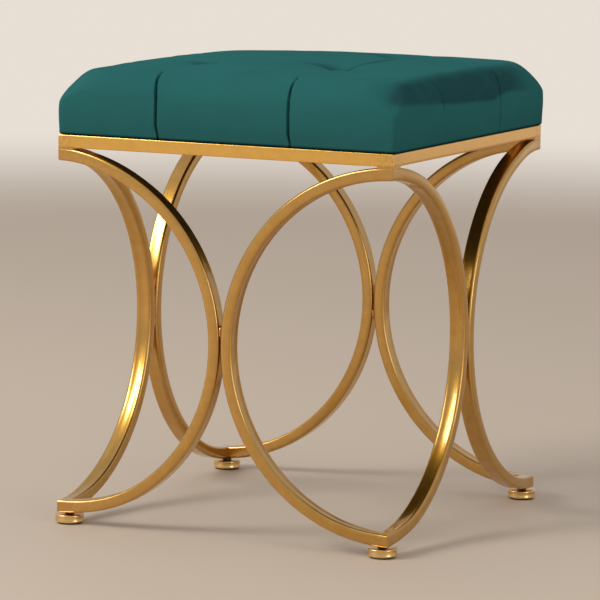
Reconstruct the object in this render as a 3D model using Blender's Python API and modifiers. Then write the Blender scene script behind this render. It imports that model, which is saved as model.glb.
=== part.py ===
"""Square upholstered ottoman on a frame of bent square tube.

Each side of the frame has a straight top rail and two half-round arcs set back
to back. Rails and arcs are mitred into their neighbours at the four corners,
and a screw-in levelling glide stands under each corner. A padded, tufted seat
is bolted to plates welded inside the rails.

Units are metres, +Z is up, and the origin is on the floor under the centre.
"""

import math

import bmesh
import bpy
from mathutils import Matrix, Vector

# Frame
SEAT_WIDTH = 0.375
SEAT_DEPTH = 0.375
FRAME_HEIGHT = 0.3912
TUBE = 0.013
TUBE_WALL = 0.0012
TUBE_EDGE = 0.0011
ARC_SPACING = 0.0015
ARC_OVERRUN = 0.0022
ARC_STEPS = 24
BORE_PAST_END_DEGREES = 1.2
JOINT_GAP = 0.0003

# Tack weld that joins the two arcs of a side
WELD_HEIGHT = 0.012
WELD_OFF_CENTRE = 0.013
WELD_PROUD = 0.0004
WELD_ROUNDING = 0.5

# Plates inside the top corners, and the screws that hold the seat
PLATE_THICKNESS = 0.002
PLATE_MARGIN = 0.006
SCREW_INSET = 0.016
SCREW_RADIUS = 0.003
SCREW_SET_BACK = 0.0008
SCREW_TIP = 0.0006
SCREW_HEAD_WIDTH = 0.0025
SCREW_HEAD_HEIGHT = 0.0033
SCREW_HEAD_EDGE = 0.0021
SCREW_HEAD_CROWN = 0.0022
HOLE_CLEARANCE = 0.0003
TEE_NUT_WALL = 0.0012
TEE_NUT_FLANGE_WIDTH = 0.005
TEE_NUT_FLANGE = 0.0012
TEE_NUT_DEPTH = 0.009

# Levelling glides
FOOT_INSET = 0.0098
FOOT_RADIUS = 0.0142
FOOT_HEIGHT = 0.0082
FOOT_LIP = 0.0013
FOOT_WAIST = 0.0007
PAD_INSET = 0.0017
PAD_SHOWING = 0.0015
PAD_RECESS = 0.0013
STUD_RADIUS = 0.0025
STUD_TIP = 0.0005
STUD_SET_BACK = 0.0009
STUD_HEAD_WIDTH = 0.0027
STUD_HEAD = 0.0018
THREAD_CLEARANCE = 0.00006
SWIVEL_CLEARANCE = 0.00015
RIVET_NUT_WALL = 0.00094
RIVET_NUT_HEADROOM = 0.0013
RIVET_NUT_FLANGE_WIDTH = 0.0015
RIVET_NUT_FLANGE = 0.0007

# Seat
COVER_THICKNESS = 0.0012
RETURN_PAST_RAIL = 0.009
COVER_BOTTOM_RADIUS = 0.0035
BOARD_THICKNESS = 0.012
DUST_COVER_THICKNESS = 0.0006
SEAT_HEIGHT = 0.0675
SEAT_OVERHANG = 0.0022
SEAT_DRAW_IN = 0.0013
BOARD_INSET = 0.0045
BOARD_CORNER_RADIUS = 0.008
EDGE_ROLL = 0.0135
EDGE_LINE_DEGREES = 50
WALL_LEVELS = (0.6, 0.25)
CORNER_RADIUS = 0.005
CORNER_WALL_HEIGHT = 0.040
CORNER_SLOPE_LENGTH = 0.046
CORNER_BLEND = 0.006
CROWN = 0.0025
FOAM_CLEARANCE = 0.0007

# Tufting: two creases each way, tied down where they cross
TUFT_SPACING = 0.150
TUFT_DEPTH = 0.0075
TUFT_SPREAD = 0.017
CREASE_DEPTH = 0.0026
CREASE_HALF_WIDTH = 0.0045
PLEAT_DEPTH = 0.0030
PLEAT_AT_BASE = 0.5
TIE_RADIUS = 0.0015
TIE_WASHER_RADIUS = 0.007
TIE_WASHER = 0.001

# Heights that follow from the sizes above
FRAME_BASE = PAD_SHOWING + FOOT_HEIGHT + RIVET_NUT_FLANGE + 2 * JOINT_GAP
RIVET_NUT_RADIUS = STUD_RADIUS + THREAD_CLEARANCE + RIVET_NUT_WALL
RIVET_NUT_TOP = FRAME_BASE + TUBE - TUBE_WALL - RIVET_NUT_HEADROOM
RAIL_TOP = FRAME_BASE + FRAME_HEIGHT
RAIL_BOTTOM = RAIL_TOP - TUBE
ARC_TOP = RAIL_BOTTOM - JOINT_GAP
ARC_HALF_HEIGHT = (ARC_TOP - FRAME_BASE - TUBE) / 2
ARC_MIDDLE = (ARC_TOP + FRAME_BASE) / 2
SEAT_BASE = RAIL_TOP + JOINT_GAP
BOARD_BASE = SEAT_BASE + COVER_THICKNESS + JOINT_GAP
BOARD_TOP = BOARD_BASE + BOARD_THICKNESS
SEAT_TOP = SEAT_BASE + SEAT_HEIGHT
TIE_WASHER_TOP = BOARD_BASE - JOINT_GAP
DUST_COVER_TOP = min(SEAT_BASE, TIE_WASHER_TOP - TIE_WASHER) - JOINT_GAP
PLATE_TOP = DUST_COVER_TOP - DUST_COVER_THICKNESS - JOINT_GAP
PLATE_BASE = PLATE_TOP - PLATE_THICKNESS
PLATE_LEG = 2 * SCREW_INSET + PLATE_MARGIN
TEE_NUT_BORE = SCREW_RADIUS + HOLE_CLEARANCE
TEE_NUT_RADIUS = TEE_NUT_BORE + TEE_NUT_WALL
COVER_RETURN = TUBE + RETURN_PAST_RAIL

SIDES = ("front", "right", "back", "left")
CORNERS = {
    "front_left": (-1, -1),
    "front_right": (1, -1),
    "back_right": (1, 1),
    "back_left": (-1, 1),
}


def clear_scene():
    for obj in list(bpy.data.objects):
        bpy.data.objects.remove(obj, do_unlink=True)


def make_collection(name, hidden=False):
    collection = bpy.data.collections.new(name)
    bpy.context.scene.collection.children.link(collection)
    collection.hide_render = hidden
    return collection


def make_material(name, colour, roughness, metallic=0.0):
    material = bpy.data.materials.new(name)
    material.use_nodes = True
    shader = material.node_tree.nodes["Principled BSDF"]
    shader.inputs["Base Color"].default_value = (*colour, 1.0)
    shader.inputs["Roughness"].default_value = roughness
    shader.inputs["Metallic"].default_value = metallic
    return material


clear_scene()
PARTS = make_collection("ottoman")
CUTTERS = make_collection("cutters", hidden=True)

GOLD = make_material("gold_paint", (0.62, 0.36, 0.10), 0.30, 1.0)
WELD_GOLD = make_material("gold_weld", (0.58, 0.34, 0.10), 0.42, 1.0)
GLIDE_GOLD = make_material("gold_glide", (0.74, 0.50, 0.18), 0.18, 1.0)
STEEL = make_material("zinc_steel", (0.55, 0.55, 0.54), 0.38, 1.0)
BLACK_RUBBER = make_material("black_rubber", (0.015, 0.015, 0.015), 0.7)
VELVET = make_material("teal_velvet", (0.020, 0.130, 0.125), 0.8)
FOAM = make_material("foam", (0.80, 0.76, 0.60), 0.9)
PLYWOOD = make_material("plywood", (0.52, 0.37, 0.21), 0.7)
DUST_CLOTH = make_material("dust_cloth", (0.02, 0.02, 0.02), 0.9)
TWINE = make_material("tuft_twine", (0.70, 0.66, 0.55), 0.8)


def add_part(name, mesh, material):
    """Links a mesh into the ottoman under its own name and material."""
    obj = bpy.data.objects.new(name, mesh)
    PARTS.objects.link(obj)
    obj.data.materials.clear()
    obj.data.materials.append(material)
    return obj


def add_cutter(name, mesh):
    obj = bpy.data.objects.new(name, mesh)
    CUTTERS.objects.link(obj)
    obj.hide_render = True
    obj.display_type = "WIRE"
    return obj


def add_boolean(obj, cutter, operation):
    modifier = obj.modifiers.new(cutter.name, "BOOLEAN")
    modifier.operation = operation
    modifier.solver = "EXACT"
    modifier.object = cutter


def mesh_from(bm, name):
    bmesh.ops.recalc_face_normals(bm, faces=bm.faces)
    mesh = bpy.data.meshes.new(name)
    bm.to_mesh(mesh)
    bm.free()
    return mesh


def baked(obj, name):
    """The mesh that an object's modifiers or curve settings make, closed and facing out."""
    graph = bpy.context.evaluated_depsgraph_get()
    mesh = bpy.data.meshes.new_from_object(obj.evaluated_get(graph))
    bm = bmesh.new()
    bm.from_mesh(mesh)
    bmesh.ops.remove_doubles(bm, verts=bm.verts, dist=1e-7)
    bpy.data.meshes.remove(mesh)
    bpy.data.objects.remove(obj, do_unlink=True)
    return mesh_from(bm, name)


def shade_round(mesh, degrees=35):
    mesh.shade_smooth()
    mesh.set_sharp_from_angle(angle=math.radians(degrees))


def poly_curve(name, points, dimensions, cyclic):
    curve = bpy.data.curves.new(name, "CURVE")
    curve.dimensions = dimensions
    spline = curve.splines.new("POLY")
    spline.points.add(len(points) - 1)
    for point, place in zip(spline.points, points):
        point.co = (*place, 1.0)
    spline.use_cyclic_u = cyclic
    obj = bpy.data.objects.new(name, curve)
    CUTTERS.objects.link(obj)
    return obj


def square_tube_mesh(name, path, size, edge):
    """A solid bar of square section with small corner flats, swept along a path."""
    half = size / 2
    flat = half - edge
    section = [
        (half, -flat, 0), (half, flat, 0), (flat, half, 0), (-flat, half, 0),
        (-half, flat, 0), (-half, -flat, 0), (-flat, -half, 0), (flat, -half, 0),
    ]
    if edge == 0:
        section = [(half, -half, 0), (half, half, 0), (-half, half, 0), (-half, -half, 0)]
    profile = poly_curve(name + "_section", section, "2D", True)
    sweep = poly_curve(name + "_path", path, "3D", False)
    sweep.data.bevel_mode = "OBJECT"
    sweep.data.bevel_object = profile
    sweep.data.use_fill_caps = True
    mesh = baked(sweep, name)
    bpy.data.objects.remove(profile, do_unlink=True)
    return mesh


def turned_mesh(name, profile, steps, closed):
    """A solid of revolution about Z. The profile runs down its outer side."""
    bm = bmesh.new()
    corners = [bm.verts.new((radius, 0, height)) for radius, height in profile]
    for first, second in zip(corners, corners[1:]):
        bm.edges.new((first, second))
    if closed:
        bm.edges.new((corners[-1], corners[0]))
    outline = bpy.data.meshes.new(name + "_outline")
    bm.to_mesh(outline)
    bm.free()
    obj = bpy.data.objects.new(name + "_outline", outline)
    CUTTERS.objects.link(obj)
    screw = obj.modifiers.new("turn", "SCREW")
    screw.steps = steps
    screw.render_steps = steps
    screw.use_merge_vertices = True
    screw.merge_threshold = 1e-6
    mesh = baked(obj, name)
    shade_round(mesh)
    return mesh


def cylinder_mesh(name, radius, low, high, steps):
    bm = bmesh.new()
    bmesh.ops.create_cone(
        bm, cap_ends=True, segments=steps, radius1=radius, radius2=radius, depth=high - low,
        matrix=Matrix.Translation((0, 0, (low + high) / 2)),
    )
    return mesh_from(bm, name)


def prism_mesh(name, outline, low, high):
    """A flat outline in XY, raised from low to high."""
    bm = bmesh.new()
    face = bm.faces.new([bm.verts.new((x, y, low)) for x, y in outline])
    raised = bmesh.ops.extrude_face_region(bm, geom=[face])["geom"]
    tops = [item for item in raised if isinstance(item, bmesh.types.BMVert)]
    bmesh.ops.translate(bm, verts=tops, vec=(0, 0, high - low))
    return mesh_from(bm, name)


# Frame


def side_sizes(side):
    """How long a side is, and how far its outer face stands from the centre."""
    if side in ("front", "back"):
        return SEAT_WIDTH, SEAT_DEPTH / 2
    return SEAT_DEPTH, SEAT_WIDTH / 2


def side_turn(side):
    """A side is modelled as the front one and turned about Z into its place."""
    return math.radians(90 * SIDES.index(side))


def arc_path(span, past_end=0.0):
    """Centre line of the arc that starts and ends at the side's left corner."""
    reach = span / 2 - (ARC_SPACING + TUBE) / 2 + ARC_OVERRUN
    start = -math.pi / 2 - past_end
    sweep = math.pi + 2 * past_end
    points = []
    for step in range(ARC_STEPS + 1):
        angle = start + sweep * step / ARC_STEPS
        along = -span / 2 - ARC_OVERRUN + reach * math.cos(angle)
        points.append((along, 0, ARC_MIDDLE + ARC_HALF_HEIGHT * math.sin(angle)))
    return points


def arc_half_gap(span, height):
    """Half the gap between a side's two arcs at a height."""
    outer_reach = span / 2 - ARC_SPACING / 2 + ARC_OVERRUN
    outer_half_height = ARC_HALF_HEIGHT + TUBE / 2
    share = (height - ARC_MIDDLE) / outer_half_height
    return span / 2 + ARC_OVERRUN - outer_reach * math.sqrt(1 - share * share)


def add_mitre_envelope(side):
    """The space between the two diagonal planes that cut a side's tubes."""
    span, face = side_sizes(side)
    beyond = 2 * TUBE
    outside = span / 2 + beyond - JOINT_GAP / math.sqrt(2)
    inside = outside - 2 * beyond - TUBE
    outline = [
        (-outside, -face - beyond),
        (outside, -face - beyond),
        (inside, -face + TUBE + beyond),
        (-inside, -face + TUBE + beyond),
    ]
    mesh = prism_mesh("mitre_" + side, outline, FRAME_BASE - beyond, RAIL_TOP + beyond)
    envelope = add_cutter("mitre_" + side, mesh)
    envelope.rotation_euler.z = side_turn(side)
    return envelope


def add_tube(name, side, path, bore_path, flip):
    """A hollow tube on a side: mitred to its neighbours, with its bore cut through."""
    face = side_sizes(side)[1]
    place = Matrix.Translation((0, -face + TUBE / 2, 0))
    if flip:
        place = place @ Matrix.Rotation(math.pi, 4, "Z")
    solid = square_tube_mesh(name, path, TUBE, TUBE_EDGE)
    solid.transform(place)
    bore = square_tube_mesh(name + "_bore", bore_path, TUBE - 2 * TUBE_WALL, 0)
    bore.transform(place)
    tube = add_part(name, solid, GOLD)
    bore_cutter = add_cutter(name + "_bore", bore)
    for obj in (tube, bore_cutter):
        obj.rotation_euler.z = side_turn(side)
    add_boolean(tube, MITRES[side], "INTERSECT")
    add_boolean(tube, bore_cutter, "DIFFERENCE")
    return tube


def add_rail(side):
    span = side_sizes(side)[0]
    height = RAIL_TOP - TUBE / 2
    path = [(-span / 2, 0, height), (span / 2, 0, height)]
    bore_path = [(-span, 0, height), (span, 0, height)]
    add_tube("rail_" + side, side, path, bore_path, False)


def add_arcs(side):
    """Two half-round arcs, back to back, drilled for the rivet nuts at their lower ends."""
    span = side_sizes(side)[0]
    corners = list(CORNERS)
    turn = SIDES.index(side)
    for hand, corner in (("a", corners[turn]), ("b", corners[(turn + 1) % 4])):
        name = "arc_" + side + "_" + hand
        bore_path = arc_path(span, math.radians(BORE_PAST_END_DEGREES))
        arc = add_tube(name, side, arc_path(span), bore_path, hand == "b")
        add_boolean(arc, NUT_HOLES[corner], "DIFFERENCE")


def add_weld(side):
    """A tack weld between the two arcs. It follows the gap, which widens away from the middle."""
    span, face = side_sizes(side)
    rise = WELD_OFF_CENTRE if side in ("front", "right") else -WELD_OFF_CENTRE
    bm = bmesh.new()
    bmesh.ops.create_cube(bm, size=1)
    bmesh.ops.subdivide_edges(bm, edges=bm.edges, cuts=3, use_grid_fill=True)
    for vert in bm.verts:
        round_off = 1 - WELD_ROUNDING * (2 * vert.co.y) ** 4
        height = ARC_MIDDLE + rise + WELD_HEIGHT * vert.co.z * round_off
        half_gap = arc_half_gap(span, height) - JOINT_GAP
        vert.co.x = 2 * vert.co.x * half_gap
        vert.co.y = -face + TUBE / 2 + vert.co.y * (TUBE + 2 * WELD_PROUD)
        vert.co.z = height
    weld = add_part("weld_" + side, mesh_from(bm, "weld_" + side), WELD_GOLD)
    weld.rotation_euler.z = side_turn(side)


def corner_place(corner, inset):
    """A point set in from both outer faces at a corner."""
    x, y = CORNERS[corner]
    return Vector((x * (SEAT_WIDTH / 2 - inset), y * (SEAT_DEPTH / 2 - inset), 0))


def add_at_corners(prefix, mesh, material, inset):
    for corner in CORNERS:
        obj = add_part(prefix + corner, mesh, material)
        obj.location = corner_place(corner, inset)


def add_corner_plates():
    """Three-cornered plates welded between the rails. Each has a hole for a seat screw."""
    for corner, (x, y) in CORNERS.items():
        inner = corner_place(corner, TUBE + JOINT_GAP)
        outline = [
            (inner.x, inner.y),
            (inner.x - x * PLATE_LEG, inner.y),
            (inner.x - x * PLATE_LEG, inner.y - y * PLATE_THICKNESS),
            (inner.x - x * PLATE_THICKNESS, inner.y - y * PLATE_LEG),
            (inner.x, inner.y - y * PLATE_LEG),
        ]
        mesh = prism_mesh("corner_plate_" + corner, outline, PLATE_BASE, PLATE_TOP)
        plate = add_part("corner_plate_" + corner, mesh, GOLD)
        add_boolean(plate, SCREW_HOLES[corner], "DIFFERENCE")


# Levelling glides


def add_glides():
    """Under each corner: a rivet nut in the tubes, a stud, a disc that turns on it, and a pad."""
    stud_bore = STUD_RADIUS + THREAD_CLEARANCE
    flange_radius = RIVET_NUT_RADIUS + RIVET_NUT_FLANGE_WIDTH
    flange_top = FRAME_BASE - JOINT_GAP
    flange_base = flange_top - RIVET_NUT_FLANGE
    nut = turned_mesh("rivet_nut", [
        (RIVET_NUT_RADIUS, RIVET_NUT_TOP),
        (RIVET_NUT_RADIUS, flange_top),
        (flange_radius, flange_top),
        (flange_radius, flange_base),
        (stud_bore, flange_base),
        (stud_bore, RIVET_NUT_TOP),
    ], 16, True)
    add_at_corners("rivet_nut_", nut, STEEL, FOOT_INSET)

    head_base = PAD_SHOWING + PAD_RECESS + JOINT_GAP
    head_top = head_base + STUD_HEAD
    head_radius = STUD_RADIUS + STUD_HEAD_WIDTH
    stud_end = RIVET_NUT_TOP - STUD_SET_BACK
    stud = turned_mesh("foot_stud", [
        (0, stud_end),
        (STUD_RADIUS - STUD_TIP, stud_end),
        (STUD_RADIUS, stud_end - STUD_TIP),
        (STUD_RADIUS, head_top),
        (head_radius, head_top),
        (head_radius, head_base),
        (0, head_base),
    ], 16, False)
    add_at_corners("foot_stud_", stud, STEEL, FOOT_INSET)

    disc_base = PAD_SHOWING
    disc_top = disc_base + FOOT_HEIGHT
    pocket = head_radius + JOINT_GAP
    pad_seat = FOOT_RADIUS - PAD_INSET + JOINT_GAP
    swivel_bore = STUD_RADIUS + SWIVEL_CLEARANCE
    recess_top = disc_base + PAD_RECESS
    middle = (disc_base + disc_top) / 2
    disc = turned_mesh("foot_disc", [
        (swivel_bore, disc_top),
        (FOOT_RADIUS - FOOT_LIP, disc_top),
        (FOOT_RADIUS, disc_top - FOOT_LIP),
        (FOOT_RADIUS - FOOT_WAIST, middle),
        (FOOT_RADIUS, disc_base + FOOT_LIP),
        (FOOT_RADIUS - FOOT_LIP, disc_base),
        (pad_seat, disc_base),
        (pad_seat, recess_top),
        (pocket, recess_top),
        (pocket, head_top + JOINT_GAP),
        (swivel_bore, head_top + JOINT_GAP),
    ], 24, True)
    add_at_corners("foot_disc_", disc, GLIDE_GOLD, FOOT_INSET)

    pad_top = recess_top - JOINT_GAP
    pad_radius = FOOT_RADIUS - PAD_INSET
    pad = turned_mesh("foot_pad", [(0, pad_top), (pad_radius, pad_top), (pad_radius, 0), (0, 0)], 24, False)
    add_at_corners("foot_pad_", pad, BLACK_RUBBER, FOOT_INSET)


# Seat


def seat_lines(half, roll):
    """Places of the seat's mesh lines, from one edge to the other."""
    tuft = TUFT_SPACING / 2
    roll_end = half - roll
    slope_end = half + roll - CORNER_SLOPE_LENGTH
    shoulder = tuft + CREASE_HALF_WIDTH
    lines = [
        half,
        roll_end + roll * math.sin(math.radians(EDGE_LINE_DEGREES)),
        roll_end,
        slope_end,
        (slope_end + shoulder) / 2,
        shoulder,
        tuft,
        tuft - CREASE_HALF_WIDTH,
    ]
    return [-line for line in lines] + [0.0] + list(reversed(lines))


def crease(distance):
    """A narrow valley: 1 on its line, and 0 from half its width on."""
    return max(0.0, 1 - abs(distance) / CREASE_HALF_WIDTH)


def tuft_dip(x, y):
    """How far creases and ties pull the top down, and the biscuits between them stand up."""
    tuft = TUFT_SPACING / 2
    across = abs(x) - tuft
    along = abs(y) - tuft
    lines = CREASE_DEPTH * max(crease(across), crease(along))
    ties = (TUFT_DEPTH - CREASE_DEPTH) * math.exp(-math.hypot(across, along) / TUFT_SPREAD)
    return lines + ties


def round_plan_corner(x, y, half_x, half_y, radius):
    """Moves a point of a square plan on to one with round corners."""
    over_x = (abs(x) - (half_x - radius)) / radius
    over_y = (abs(y) - (half_y - radius)) / radius
    if over_x <= 0 or over_y <= 0:
        return x, y
    new_x = half_x - radius + radius * over_x * math.sqrt(1 - over_y * over_y / 2)
    new_y = half_y - radius + radius * over_y * math.sqrt(1 - over_x * over_x / 2)
    return math.copysign(new_x, x), math.copysign(new_y, y)


def soft_minimum(first, second, blend):
    share = max(0.0, blend - abs(first - second)) / blend
    return min(first, second) - blend * share * share / 4


def roll_drop(place, half, roll):
    """How far the rolled edge has dropped at a place across the seat."""
    over = max(0.0, (abs(place) - (half - roll)) / roll)
    return roll * (1 - math.sqrt(max(0.0, 1 - over * over)))


def corner_limit(x, y, half_x, half_y, inset):
    """The highest that the cover stands near a corner, where it is pulled down over the foam."""
    along = (half_x - abs(x)) + (half_y - abs(y))
    rise = (SEAT_HEIGHT - CORNER_WALL_HEIGHT) / CORNER_SLOPE_LENGTH
    return SEAT_BASE + CORNER_WALL_HEIGHT - inset + rise * along


def shape_top(x, y, half_x, half_y, inset):
    roll = EDGE_ROLL - inset
    crown_x = math.cos(math.pi / 2 * min(1.0, abs(x) / half_x))
    crown_y = math.cos(math.pi / 2 * min(1.0, abs(y) / half_y))
    level = SEAT_TOP - inset + CROWN * crown_x * crown_y
    drop = math.hypot(roll_drop(x, half_x, roll), roll_drop(y, half_y, roll))
    height = level - min(drop, roll) - tuft_dip(x, y)
    height = soft_minimum(height, corner_limit(x, y, half_x, half_y, inset), CORNER_BLEND)
    x, y = round_plan_corner(x, y, half_x, half_y, CORNER_RADIUS)
    return Vector((x, y, height))


def wall_bulge(level):
    """How far a wall stands out past the rail: most half way up, and drawn in at both ends."""
    return SEAT_OVERHANG - SEAT_DRAW_IN * (2 * level - 1) ** 4


def shape_wall(x, y, half_x, half_y, inset, level):
    """A point of a side wall. Level is 0 where the wall meets its base and 1 at the rolled edge."""
    top = shape_top(x, y, half_x, half_y, inset)
    base = SEAT_BASE + COVER_BOTTOM_RADIUS
    out = wall_bulge(level)
    tuft = TUFT_SPACING / 2
    on_x_wall = abs(x) >= half_x - 1e-9
    on_y_wall = abs(y) >= half_y - 1e-9
    along = y if on_x_wall else x
    pleat = PLEAT_AT_BASE + (1 - PLEAT_AT_BASE) * min(1.0, level / WALL_LEVELS[0])
    out -= PLEAT_DEPTH * pleat * crease(abs(along) - tuft)
    share = math.sqrt(0.5) if on_x_wall and on_y_wall else 1.0
    push_x = out * share * math.copysign(1, x) if on_x_wall else 0.0
    push_y = out * share * math.copysign(1, y) if on_y_wall else 0.0
    return Vector((top.x + push_x, top.y + push_y, base + (top.z - base) * level))


def seat_bmesh(inset, wall_levels, turned_under):
    """An open skin: the top, its walls down to the base, and the cloth that turns under."""
    half_x = SEAT_WIDTH / 2 - inset
    half_y = SEAT_DEPTH / 2 - inset
    roll = EDGE_ROLL - inset
    across = seat_lines(half_x, roll)
    back = seat_lines(half_y, roll)
    cells = len(across) - 1
    bm = bmesh.new()
    bmesh.ops.create_grid(bm, x_segments=cells, y_segments=cells, size=cells / 2)

    def place_of(vert):
        x = across[round(vert.co.x + cells / 2)]
        y = back[round(vert.co.y + cells / 2)]
        return x, y

    places = {vert: place_of(vert) for vert in bm.verts}
    for vert, (x, y) in places.items():
        on_edge = abs(x) >= half_x - 1e-9 or abs(y) >= half_y - 1e-9
        if on_edge:
            vert.co = shape_wall(x, y, half_x, half_y, inset, 1.0)
        else:
            vert.co = shape_top(x, y, half_x, half_y, inset)

    ring = [edge for edge in bm.edges if edge.is_boundary]
    homes = {vert: places[vert] for edge in ring for vert in edge.verts}
    for level in wall_levels:
        ring, homes = extrude_ring(bm, ring, homes)
        for vert, (x, y) in homes.items():
            vert.co = shape_wall(x, y, half_x, half_y, inset, level)
    for inward, height in turned_under:
        ring, homes = extrude_ring(bm, ring, homes)
        for vert, (x, y) in homes.items():
            foot = shape_wall(x, y, half_x, half_y, inset, 0.0)
            vert.co = Vector((
                foot.x * (1 - inward / half_x),
                foot.y * (1 - inward / half_y),
                height,
            ))
    return bm, ring


def extrude_ring(bm, ring, homes):
    """A copy of a ring of edges joined to it by faces, with each new vertex's home on the plan."""
    made = bmesh.ops.extrude_edge_only(bm, edges=ring)["geom"]
    new_edges = [item for item in made if isinstance(item, bmesh.types.BMEdge)]
    new_verts = [item for item in made if isinstance(item, bmesh.types.BMVert)]
    old = {tuple(vert.co): home for vert, home in homes.items()}
    new_homes = {vert: old[tuple(vert.co)] for vert in new_verts}
    return new_edges, new_homes


def add_seat_cover():
    """Tufted cloth over the foam, turned under the board all round."""
    under = [(COVER_BOTTOM_RADIUS, SEAT_BASE), (COVER_RETURN, SEAT_BASE)]
    bm = seat_bmesh(0.0, (*WALL_LEVELS, 0.0), under)[0]
    cover = add_part("seat_cover", mesh_from(bm, "seat_cover"), VELVET)
    shell = cover.modifiers.new("cloth", "SOLIDIFY")
    shell.thickness = COVER_THICKNESS
    shell.offset = -1
    shell.use_even_offset = True
    cover.data.shade_smooth()


def add_foam():
    """Foam cut to the inside of the cover, drilled for the tuft ties."""
    inset = COVER_THICKNESS + FOAM_CLEARANCE
    bm, ring = seat_bmesh(inset, WALL_LEVELS, [])
    for vert in {vert for edge in ring for vert in edge.verts}:
        vert.co.z = BOARD_TOP + JOINT_GAP
    bmesh.ops.contextual_create(bm, geom=ring)
    foam = add_part("foam_pad", mesh_from(bm, "foam_pad"), FOAM)
    for cutter in TIE_HOLES.values():
        add_boolean(foam, cutter, "DIFFERENCE")


def add_seat_board():
    """Plywood board inside the cover, with holes for tee nuts and tuft ties."""
    half_x = SEAT_WIDTH / 2 - BOARD_INSET
    half_y = SEAT_DEPTH / 2 - BOARD_INSET
    bm = bmesh.new()
    size = Matrix.Diagonal((2 * half_x, 2 * half_y, BOARD_THICKNESS, 1))
    middle = Matrix.Translation((0, 0, BOARD_BASE + BOARD_THICKNESS / 2))
    bmesh.ops.create_cube(bm, size=1, matrix=middle @ size)
    upright = [edge for edge in bm.edges if abs(edge.verts[0].co.z - edge.verts[1].co.z) > 1e-4]
    bmesh.ops.bevel(bm, geom=upright, offset=BOARD_CORNER_RADIUS, segments=3, affect="EDGES")
    board = add_part("seat_board", mesh_from(bm, "seat_board"), PLYWOOD)
    for cutter in (*TEE_NUT_HOLES.values(), *TIE_HOLES.values()):
        add_boolean(board, cutter, "DIFFERENCE")


def add_dust_cover():
    """Thin black cloth that closes the underside between the rails."""
    half_x = SEAT_WIDTH / 2 - TUBE - JOINT_GAP
    half_y = SEAT_DEPTH / 2 - TUBE - JOINT_GAP
    outline = [(-half_x, -half_y), (half_x, -half_y), (half_x, half_y), (-half_x, half_y)]
    base = DUST_COVER_TOP - DUST_COVER_THICKNESS
    mesh = prism_mesh("dust_cover", outline, base, DUST_COVER_TOP)
    cover = add_part("dust_cover", mesh, DUST_CLOTH)
    for cutter in SCREW_HOLES.values():
        add_boolean(cover, cutter, "DIFFERENCE")


def add_seat_fasteners():
    """A screw up through each corner plate into a tee nut that is let into the board."""
    head_top = PLATE_BASE - JOINT_GAP
    head_base = head_top - SCREW_HEAD_HEIGHT
    head_radius = SCREW_RADIUS + SCREW_HEAD_WIDTH
    screw_end = BOARD_TOP - SCREW_SET_BACK
    inset = TUBE + SCREW_INSET
    screw = turned_mesh("seat_screw", [
        (0, screw_end),
        (SCREW_RADIUS - SCREW_TIP, screw_end),
        (SCREW_RADIUS, screw_end - SCREW_TIP),
        (SCREW_RADIUS, head_top),
        (head_radius, head_top),
        (head_radius - SCREW_HEAD_CROWN / 4, head_top - SCREW_HEAD_EDGE),
        (head_radius - SCREW_HEAD_CROWN, head_base),
        (0, head_base),
    ], 16, False)
    add_at_corners("seat_screw_", screw, STEEL, inset)

    flange_radius = TEE_NUT_RADIUS + TEE_NUT_FLANGE_WIDTH
    flange_base = BOARD_TOP - TEE_NUT_FLANGE
    barrel_base = BOARD_TOP - TEE_NUT_DEPTH
    nut = turned_mesh("tee_nut", [
        (TEE_NUT_BORE, BOARD_TOP),
        (flange_radius, BOARD_TOP),
        (flange_radius, flange_base),
        (TEE_NUT_RADIUS, flange_base),
        (TEE_NUT_RADIUS, barrel_base),
        (TEE_NUT_BORE, barrel_base),
    ], 16, True)
    add_at_corners("tee_nut_", nut, STEEL, inset)


def tuft_place(corner):
    x, y = CORNERS[corner]
    return Vector((x * TUFT_SPACING / 2, y * TUFT_SPACING / 2, 0))


def add_tuft_ties():
    """A tie through foam and board at each crossing, held by a washer under the board."""
    cover_inside = shape_top(
        TUFT_SPACING / 2, TUFT_SPACING / 2, SEAT_WIDTH / 2, SEAT_DEPTH / 2, 0.0
    ).z - COVER_THICKNESS
    tie_top = cover_inside - 2 * JOINT_GAP
    tie = turned_mesh("tuft_tie", [
        (0, tie_top),
        (TIE_RADIUS, tie_top),
        (TIE_RADIUS, TIE_WASHER_TOP),
        (TIE_WASHER_RADIUS, TIE_WASHER_TOP),
        (TIE_WASHER_RADIUS, TIE_WASHER_TOP - TIE_WASHER),
        (0, TIE_WASHER_TOP - TIE_WASHER),
    ], 12, False)
    for corner in CORNERS:
        add_part("tuft_tie_" + corner, tie, TWINE).location = tuft_place(corner)


# Holes and other cutters that more than one piece shares


def hole_cutters(prefix, mesh, place):
    cutters = {}
    for corner in CORNERS:
        cutters[corner] = add_cutter(prefix + corner, mesh)
        cutters[corner].location = place(corner)
    return cutters


def screw_place(corner):
    return corner_place(corner, TUBE + SCREW_INSET)


def glide_place(corner):
    return corner_place(corner, FOOT_INSET)


def tee_nut_hole_mesh():
    """A stepped hole: a wide recess for the flange over a bore for the barrel."""
    barrel = TEE_NUT_RADIUS + HOLE_CLEARANCE
    flange = barrel + TEE_NUT_FLANGE_WIDTH
    floor = BOARD_TOP - TEE_NUT_FLANGE - HOLE_CLEARANCE
    return turned_mesh("tee_nut_hole", [
        (0, BOARD_TOP + TUBE),
        (flange, BOARD_TOP + TUBE),
        (flange, floor),
        (barrel, floor),
        (barrel, BOARD_BASE - TUBE),
        (0, BOARD_BASE - TUBE),
    ], 16, False)


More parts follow.
